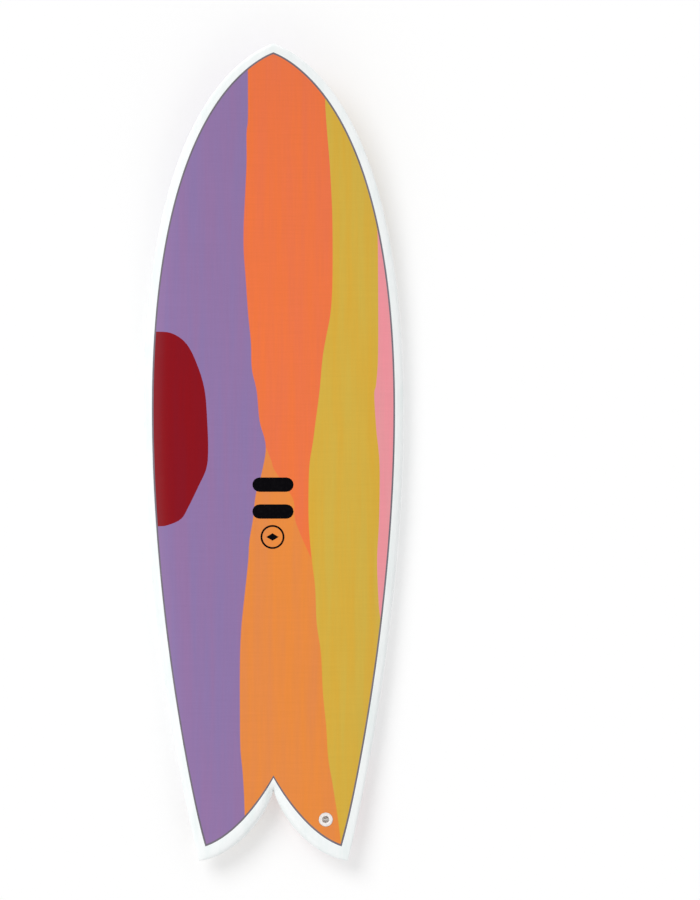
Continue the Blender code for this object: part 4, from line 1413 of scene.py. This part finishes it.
    def make_piece(self, name: str) -> bpy.types.Object:
        """Turn the polygons of one piece into a closed shell of even thickness.

        Args:
            name: name of the piece.

        Returns:
            The new object.
        """
        polygons = self.pieces[name]
        used = sorted({number for polygon in polygons for number in polygon})
        local = {number: index for index, number in enumerate(used)}
        outer = np.array([self.spots[number] for number in used])
        normals = self.normals[used]
        inner = outer - normals * self.thickness
        count = len(used)
        faces, loops = [], []
        spans = set()
        for polygon in polygons:
            corners = [local[number] for number in polygon]
            faces.append(corners)
            loops += [normals[corner] for corner in corners]
            back = [corner + count for corner in reversed(corners)]
            faces.append(back)
            loops += [-normals[corner - count] for corner in back]
            spans.update(zip(corners, corners[1:] + corners[:1]))
        both = np.vstack([outer, inner])
        for start, end in sorted(spans):
            if (end, start) not in spans:
                wall = [end, start, start + count, end + count]
                faces.append(wall)
                across = np.cross(both[wall[1]] - both[wall[0]], both[wall[3]] - both[wall[0]])
                loops += [across / max(np.linalg.norm(across), NEARLY_ZERO)] * len(wall)
        data = bpy.data.meshes.new(name)
        data.from_pydata([tuple(point) for point in both], [], faces)
        data.polygons.foreach_set("use_smooth", [True] * len(faces))
        data.normals_split_custom_set([tuple(way) for way in loops])
        data.validate()
        return link(name, data)


def link(name: str, data: bpy.types.Mesh) -> bpy.types.Object:
    """Put a mesh in the scene.

    Args:
        name: name of the object.
        data: its mesh.

    Returns:
        The new object.
    """
    item = bpy.data.objects.new(name, data)
    bpy.context.scene.collection.objects.link(item)
    return item


# ---------------------------------------------------------------- turned and moulded fittings

def loft(name: str, loops: Sequence[Loop], capped: bool = True) -> bpy.types.Object:
    """Closed body through loops of equal length.

    Args:
        name: name of the object.
        loops: rings of points, in order.
        capped: whether both ends are closed by a face.

    Returns:
        The new object.
    """
    mesh = bmesh.new()
    rows = [[mesh.verts.new(point) for point in loop] for loop in loops]
    for low, high in zip(rows, rows[1:]):
        for index in range(len(low)):
            after = (index + 1) % len(low)
            mesh.faces.new((low[index], low[after], high[after], high[index]))
    if capped:
        mesh.faces.new(rows[0])
        mesh.faces.new(list(reversed(rows[-1])))
    bmesh.ops.recalc_face_normals(mesh, faces=mesh.faces)
    data = bpy.data.meshes.new(name)
    mesh.to_mesh(data)
    mesh.free()
    return link(name, data)


def raise_to(outline: Plan, z: float) -> Loop:
    """Give a plan outline a height."""
    return [(x, y, z) for x, y in outline]


def rounding(radius: float, steps: int) -> list[tuple[float, float]]:
    """Steps of an edge rounded over a quarter turn.

    Args:
        radius: radius of the rounding.
        steps: number of loops that draw it.

    Returns:
        Inset and depth of each loop, from the face to the side.
    """
    return [(radius * (1 - math.sin(angle)), radius * (1 - math.cos(angle)))
            for angle in np.linspace(0, math.pi / 2, steps)]


def chamfered(lip: float, depth: float) -> tuple[tuple[float, float], ...]:
    """How much a hollow with a chamfered mouth grows at each of its depths."""
    return (lip + OVERCUT, -OVERCUT), (lip, 0.0), (0.0, lip), (0.0, depth)


def carve(item: bpy.types.Object, cutter: bpy.types.Object) -> None:
    """Cut one body out of another and delete the cutter.

    Args:
        item: body that is cut.
        cutter: closed body that marks the hollow.
    """
    modifier = item.modifiers.new("carve", "BOOLEAN")
    modifier.operation = "DIFFERENCE"
    modifier.solver = "EXACT"
    modifier.object = cutter
    bpy.context.view_layer.update()
    graph = bpy.context.evaluated_depsgraph_get()
    result = bpy.data.meshes.new_from_object(item.evaluated_get(graph))
    item.modifiers.clear()
    item.data = result
    bpy.data.objects.remove(cutter, do_unlink=True)


def soften(item: bpy.types.Object, angle: float = 32.0) -> None:
    """Shade a body smooth and keep the edges sharper than an angle crisp.

    Args:
        item: body to shade.
        angle: sharpest turn, in degrees, that still counts as round.
    """
    mesh = bmesh.new()
    mesh.from_mesh(item.data)
    for edge in mesh.edges:
        edge.smooth = len(edge.link_faces) == 2 and edge.calc_face_angle(0.0) < math.radians(angle)
    for face in mesh.faces:
        face.smooth = True
    mesh.to_mesh(item.data)
    mesh.free()


def dress(item: bpy.types.Object, material: bpy.types.Material, body: str,
          nodes: Sequence[str]) -> None:
    """Give a piece its material, its body and the parts that it stands for.

    Args:
        item: the piece, already in place.
        material: its finish.
        body: body that it moves with.
        nodes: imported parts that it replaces.
    """
    item.data.materials.clear()
    item.data.materials.append(material)
    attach(item, body)
    if nodes:
        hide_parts(*nodes)
    LOG.info("%s: %d polygons, rides %s", item.name, len(item.data.polygons), body)


def outward_frame(mount: str, turn: float) -> Matrix:
    """Frame of a fitting from its mount in the record; z runs into the board.

    Args:
        mount: name of the mount.
        turn: angle of the fitting's long way from y, anticlockwise from above.

    Returns:
        A frame whose origin is the mount's own point.
    """
    found = next(row for row in frame["record"]["mounts"] if row["name"] == mount)
    down = -Vector(found["axis"]).normalized()
    ahead = Vector((-math.sin(turn), math.cos(turn), 0.0))
    ahead = (ahead - down * ahead.dot(down)).normalized()
    turned = Matrix((ahead.cross(down), ahead, down)).transposed().to_4x4()
    return Matrix.Translation(found["pos_m"]) @ turned


@dataclass(frozen=True)
class FinBox:
    """Flanged single-slot fin box with its stainless set screw, on one side of the bottom."""

    side: Side
    length: float = 0.154
    width: float = 0.030
    flange: float = 0.0025
    body_inset: float = 0.005
    depth: float = 0.0165
    slot_length: float = 0.1134
    slot_width: float = 0.0074
    slot_depth: float = 0.0130
    slot_shift: float = -0.0024
    toe: float = math.radians(2.0)
    edge: float = 0.0009
    edge_steps: int = 6
    end_steps: int = 24             # spans round each end of the flange
    lip: float = 0.0007             # chamfer of the slot and of the screw's hole
    screw_ahead: float = 0.0616
    screw_radius: float = 0.0024
    screw_length: float = 0.008
    screw_seat: float = 0.0022      # depth of the screw's outer end
    screw_steps: int = 40
    screw_rows: int = 81
    screw_crease: float = 50.0      # the thread's flanks stay crisp past this angle, in degrees
    hole_depth: float = 0.0130
    hole_steps: int = 32
    socket: float = 0.0025          # hexagon, across flats
    socket_loops: tuple = (         # share of the hexagon's size, and depth
        (1.25, -0.0005), (1.0, 0.0003), (1.0, 0.003), (0.3, 0.0036))
    pitch: float = 0.0008
    thread_share: float = 0.36      # depth of the thread, of its pitch
    run_in: float = 0.6             # pitches over which the thread starts at the outer end
    run_out: float = 1.2            # and ends at the inner one
    gap: float = 0.0003

    def frame(self) -> Matrix:
        """Frame on the flange's outer face, midway along it; z runs into the board.

        Returns:
            The frame, worked back from the mount on the slot's floor.
        """
        floor = outward_frame("fin_slot_" + self.side.label, self.toe * self.side.value)
        return floor @ Matrix.Translation((0.0, -self.slot_shift, -self.slot_depth))

    def footprint(self) -> Plan:
        """Plan outline of the routed recess that the flange sits in."""
        origin = self.frame().translation
        return stadium((origin.x, origin.y), self.length + 2 * self.gap, self.width + 2 * self.gap,
                       self.toe * self.side.value)

    def oval(self, inset: float, z: float) -> Loop:
        """Loop of the flange's outline, drawn in by an inset, at a depth."""
        return raise_to(stadium((0, 0), self.length - 2 * inset, self.width - 2 * inset,
                                steps=self.end_steps), z)

    def build_box(self) -> bpy.types.Object:
        """Mould the box: rounded flange, body, chamfered slot and screw hole.

        Returns:
            The box in place.
        """
        loops = [self.oval(inset, z) for inset, z in rounding(self.edge, self.edge_steps)]
        loops += [self.oval(0.0, self.flange), self.oval(self.body_inset, self.flange),
                  self.oval(self.body_inset, self.depth - self.edge),
                  self.oval(self.body_inset + self.edge, self.depth)]
        item = loft("fin_box_" + self.side.label + "_moulding", loops)
        slot = [raise_to(stadium((0, self.slot_shift), self.slot_length + 2 * grow,
                                 self.slot_width + 2 * grow), z)
                for grow, z in chamfered(self.lip, self.slot_depth)]
        carve(item, loft("guide", slot))
        radius = self.screw_radius + self.gap
        hole = [raise_to(ring((0.0, self.screw_ahead), radius + grow, self.hole_steps), z)
                for grow, z in chamfered(self.lip, self.hole_depth)]
        carve(item, loft("guide", hole))
        soften(item)
        item.data.transform(self.frame())
        return item

    def build_screw(self) -> bpy.types.Object:
        """Turn the set screw: rolled thread, run out at both ends, and hexagon socket.

        Returns:
            The screw in place.
        """
        cut = self.pitch * self.thread_share
        loops = []
        for row in range(self.screw_rows):
            z = self.screw_length * row / (self.screw_rows - 1)
            end = min(1.0, z / (self.run_in * self.pitch),
                      (self.screw_length - z) / (self.run_out * self.pitch))
            loop = []
            for step in range(self.screw_steps):
                angle = math.tau * step / self.screw_steps
                turn = (z / self.pitch - step / self.screw_steps) % 1.0
                radius = self.screw_radius - cut * (1 - abs(2 * turn - 1)) * end - cut * (1 - end)
                loop.append((radius * math.cos(angle), radius * math.sin(angle), z))
            loops.append(loop)
        item = loft("fin_screw_" + self.side.label + "_threaded", loops)
        corner = self.socket / math.sqrt(3)
        socket = [raise_to(ring((0, 0), corner * share, steps=6), z) for share, z in self.socket_loops]
        carve(item, loft("guide", socket))
        soften(item, self.screw_crease)
        seat = Matrix.Translation((0.0, self.screw_ahead, self.screw_seat))
        item.data.transform(self.frame() @ seat)
        return item

    def build(self, plastic: bpy.types.Material, steel: bpy.types.Material) -> None:
        """Make both pieces and dress them.

        Args:
            plastic: finish of the moulding.
            steel: finish of the screw.
        """
        label = self.side.label
        dress(self.build_box(), plastic, BOARD, ["fin_box_" + label])
        dress(self.build_screw(), steel, "set_screw_" + label,
              ["fin_screw_" + label])


@dataclass(frozen=True)
class LeashPlug:
    """Round cup in the deck near the right tail tip, with a steel pin across it."""

    rim_radius: float = 0.0145
    body_radius: float = 0.0115
    mouth_radius: float = 0.0075
    rim: float = 0.002
    depth: float = 0.0145
    cavity: float = 0.0120
    floor_loops: tuple = ((0.5, 0.0), (0.85, 0.0012), (1.0, 0.0035))    # share of radius, height
    edge: float = 0.0006
    mouth_edge: float = 0.00096
    edge_steps: int = 5
    pin_radius: float = 0.002
    pin_length: float = 0.019
    pin_depth: float = 0.0055
    pin_edge: float = 0.0003
    pin_steps: int = 32
    gap: float = 0.0003
    steps: int = 64
    hole_steps: int = 40

    def frame(self) -> Matrix:
        """Frame in the middle of the rim's outer face; z runs into the board.

        Returns:
            The frame, with its origin over the middle of the cup's own part.
        """
        across = outward_frame("leash_plug_rim", 0.0)
        low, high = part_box("leash_plug_pin")
        middle = (low + high) / 2
        down = across.to_3x3().col[2]
        across.translation = middle - down * self.pin_depth
        return across

    def footprint(self) -> Plan:
        """Plan outline of the drilled hole that the rim sits in."""
        origin = self.frame().translation
        return ring((origin.x, origin.y), self.rim_radius + self.gap, self.hole_steps)

    def build_cup(self) -> bpy.types.Object:
        """Mould the cup: dished floor, rounded mouth and rim, and the hole for the pin.

        Returns:
            The cup in place.
        """
        profile = [(self.mouth_radius * share, self.cavity - height) for share, height in self.floor_loops]
        profile += [(self.mouth_radius + depth, inset)      # from the side to the face
                    for inset, depth in rounding(self.mouth_edge, self.edge_steps)]
        profile += [(self.rim_radius - inset, depth)
                    for inset, depth in rounding(self.edge, self.edge_steps)]
        profile += [(self.rim_radius, self.rim), (self.body_radius, self.rim),
                    (self.body_radius, self.depth)]
        loops = [raise_to(ring((0, 0), radius, self.steps), z) for radius, z in profile]
        item = loft("leash_plug_cup_moulding", loops)
        carve(item, self.rod("guide", self.pin_radius + self.gap, self.pin_length + 2 * self.gap, 0.0))
        soften(item)
        item.data.transform(self.frame())
        return item

    def rod(self, name: str, radius: float, length: float, edge: float) -> bpy.types.Object:
        """Round bar along x at the pin's depth.

        Args:
            name: name of the object.
            radius: radius of the bar.
            length: overall length.
            edge: chamfer of both ends.

        Returns:
            The bar in the plug's own frame.
        """
        half = length / 2
        ends = [(-half, radius - edge), (-half + edge, radius), (half - edge, radius), (half, radius - edge)]
        if edge == 0.0:
            ends = [ends[0], ends[-1]]
        loops = [[(x, y, self.pin_depth + z) for y, z in ring((0, 0), size, self.pin_steps)]
                 for x, size in ends]
        return loft(name, loops)

    def build(self, plastic: bpy.types.Material, steel: bpy.types.Material) -> None:
        """Make both pieces and dress them.

        Args:
            plastic: finish of the cup.
            steel: finish of the pin.
        """
        dress(self.build_cup(), plastic, BOARD, ["leash_plug_cup"])
        pin = self.rod("leash_plug_pin_turned", self.pin_radius, self.pin_length, self.pin_edge)
        soften(pin)
        pin.data.transform(self.frame())
        dress(pin, steel, BOARD, ["leash_plug_pin"])


@dataclass
class GlassedBoard:
    """The laminated outside of the board: cloths, laps, pinlines and printed marks."""

    skin: Skin

    def build(self) -> None:
        """Make every piece of the outside and dress it."""
        self.skin.build()
        cloths = {colour.word: colour.value.material() for colour in Colour}
        speckled = LaminatedCloth("coral_cloth_speckled", "#E5764B", "#E97A47", speckle=0.28).material()
        lap, line, ink = PigmentedLap().material(), TapedResinLine().material(), PrintedInk().material()
        for name in sorted(self.skin.pieces):
            item = self.skin.make_piece(name)
            item.name = name + "_finish"
            nodes = [name]
            if "_panel_" in name:
                word = name.rsplit("_", 1)[1]
                material, slot = cloths[word], word + "_cloth"
                if name == "bottom_panel_coral":
                    material = speckled
                if word == "purple":
                    nodes.append(name.split("_")[0] + "_laminate")
            elif "pinline" in name:
                material, slot = line, "pinline_resin"
            elif "marks" in name:
                material, slot, nodes = ink, "pinline_resin", []
            else:
                material, slot = lap, "white_lap"
            dress(item, material, BOARD, nodes)


@dataclass(frozen=True)
class Core:
    """Foam halves, planed round at the crotch, and the stringer and dense blocks as packed."""

    crotch_y: float = -0.703
    crotch_radius: float = 0.013
    crotch_steps: int = 24
    cutter_span: tuple = (-0.1, 0.2)    # z from well below the board to well above it

    def shape_foam(self, name: str) -> bpy.types.Object:
        """Plane one foam half round at the crotch, where the laps are pulled over it.

        Args:
            name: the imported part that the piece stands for.

        Returns:
            The piece in place.
        """
        part = frame["nodes"][name]
        item = link(name + "_planed", part.data.copy())
        item.matrix_world = part.matrix_world
        around = ring((0.0, self.crotch_y), self.crotch_radius, self.crotch_steps)
        carve(item, loft("guide", [raise_to(around, z) for z in self.cutter_span]))
        return item

    def build(self) -> None:
        """Give each inner part its finish."""
        foam = BlownFoam("planed_foam", "#F3F1E6", 1.2 * MM).material()
        dense = BlownFoam("dense_foam_block", "#DCCFAE", 0.7 * MM).material()
        wood = SawnStringer().material()
        for name in ("foam_core_left", "foam_core_right"):
            dress(self.shape_foam(name), foam, BOARD, [name])
        finishes = {"stringer": wood, "fin_box_foam_left": dense, "fin_box_foam_right": dense,
                    "leash_plug_foam": dense}
        for name, material in finishes.items():
            socket = frame["nodes"][name].material_slots[0]
            socket.link = "OBJECT"
            socket.material = material
            LOG.info("%s: keeps its part, finish %s", name, material.name)


# ---------------------------------------------------------------- studio

@dataclass(frozen=True)
class Studio:
    """White table, white tent, a soft lamp from the left of the nose and a long lens above."""

    floor_size: float = 120.0
    floor_drop: float = 0.0003
    distance: float = 30.0
    view_height: float = 1.8792         # what the camera takes in along the board
    aside: float = 0.1595               # the board lies left of the middle of the view
    ahead: float = 0.0052
    far_clip: float = 100.0
    sensor: float = 36.0
    sun_power: float = 1.3
    sun_spread: float = math.radians(34)
    sun_from: tuple = (-0.62, 0.7, 1.0)
    sky_low: float = 0.54               # tent at the horizon, which gloss mirrors at a low angle
    sky_high: float = 0.95
    full_tent: float = 0.6              # cosine at which the tent is at its brightest
    hood: float = 0.1                   # share of light left under the hood round the camera
    hood_edge: tuple = (0.82, 0.95)     # cosines between which the hood fades in

    def build(self) -> None:
        """Set the floor, lights and camera."""
        self.add_floor()
        self.add_light()
        self.add_camera()
        bpy.context.scene.view_settings.view_transform = "Standard"

    def add_floor(self) -> None:
        """Lay the pale floor under the board."""
        mesh = bmesh.new()
        half = self.floor_size / 2
        corners = [(-half, -half), (half, -half), (half, half), (-half, half)]
        mesh.faces.new([mesh.verts.new((x, y, -self.floor_drop)) for x, y in corners])
        data = bpy.data.meshes.new("floor")
        mesh.to_mesh(data)
        mesh.free()
        floor = link("floor", data)
        data.materials.append(SweepPaper().material())

    def add_light(self) -> None:
        """Hang one wide soft lamp inside the white tent."""
        lamp = bpy.data.lights.new("soft_lamp", "SUN")
        lamp.energy = self.sun_power
        lamp.angle = self.sun_spread
        item = bpy.data.objects.new("soft_lamp", lamp)
        item.rotation_euler = Vector(self.sun_from).to_track_quat("Z", "Y").to_euler()
        bpy.context.scene.collection.objects.link(item)
        bpy.context.scene.world = self.sky()

    def sky(self) -> bpy.types.World:
        """Make the sky: a white tent, dimmer low down and under the camera's dark hood.

        Returns:
            The world, which looks plain white behind the board.
        """
        world = bpy.data.worlds.new("white_tent")
        world.use_nodes = True
        tree = world.node_tree
        way = add_node(tree, "ShaderNodeTexCoord").outputs["Generated"]
        height = add_node(tree, "ShaderNodeSeparateXYZ", {}, {"Vector": way}).outputs["Z"]
        tent = add_node(tree, "ShaderNodeMapRange", {
            "From Min": 0.0, "From Max": self.full_tent, "To Min": self.sky_low,
            "To Max": self.sky_high}, {"Value": height})
        hood = add_node(tree, "ShaderNodeMapRange", {
            "interpolation_type": "SMOOTHSTEP", "From Min": self.hood_edge[0],
            "From Max": self.hood_edge[1], "To Min": 1.0, "To Max": self.hood}, {"Value": height})
        light = add_node(tree, "ShaderNodeMath", {"operation": "MULTIPLY"}, {
            0: tent.outputs[0], 1: hood.outputs[0]})
        seen = add_node(tree, "ShaderNodeLightPath").outputs["Is Camera Ray"]
        strength = add_node(tree, "ShaderNodeMath", {"operation": "MAXIMUM"}, {
            0: light.outputs[0], 1: seen})
        sky = tree.nodes["Background"]
        sky.inputs["Color"].default_value = (1.0, 1.0, 1.0, 1.0)
        tree.links.new(strength.outputs[0], sky.inputs["Strength"])
        return world

    def add_camera(self) -> None:
        """Look straight down with the nose at the top of the picture."""
        data = bpy.data.cameras.new("camera")
        data.sensor_width = self.sensor
        data.lens = self.sensor * self.distance / self.view_height
        data.clip_end = self.far_clip
        item = bpy.data.objects.new("camera", data)
        item.location = (self.aside, self.ahead, self.distance)
        bpy.context.scene.collection.objects.link(item)
        bpy.context.scene.camera = item


def main() -> None:
    """Build the board from the outside in, then the studio round it."""
    logging.basicConfig(level=logging.INFO, format="%(name)s: %(message)s")
    boxes = [FinBox(Side.LEFT), FinBox(Side.RIGHT)]
    plug = LeashPlug()
    cuts = {Face.DECK: [plug.footprint()], Face.BOTTOM: [box.footprint() for box in boxes]}
    box_nylon, steel = MouldedNylon().material(), TurnedStainless().material()
    plug_nylon = MouldedNylon("plug_nylon", "#F8F2EE", "#F1EAE6").material()
    GlassedBoard(Skin(Outline(BoardShape()), (deck_art(), bottom_art()), cuts)).build()
    for box in boxes:
        box.build(box_nylon, steel)
    plug.build(plug_nylon, steel)
    Core().build()
    Studio().build()


if __name__ == "__main__":
    main()
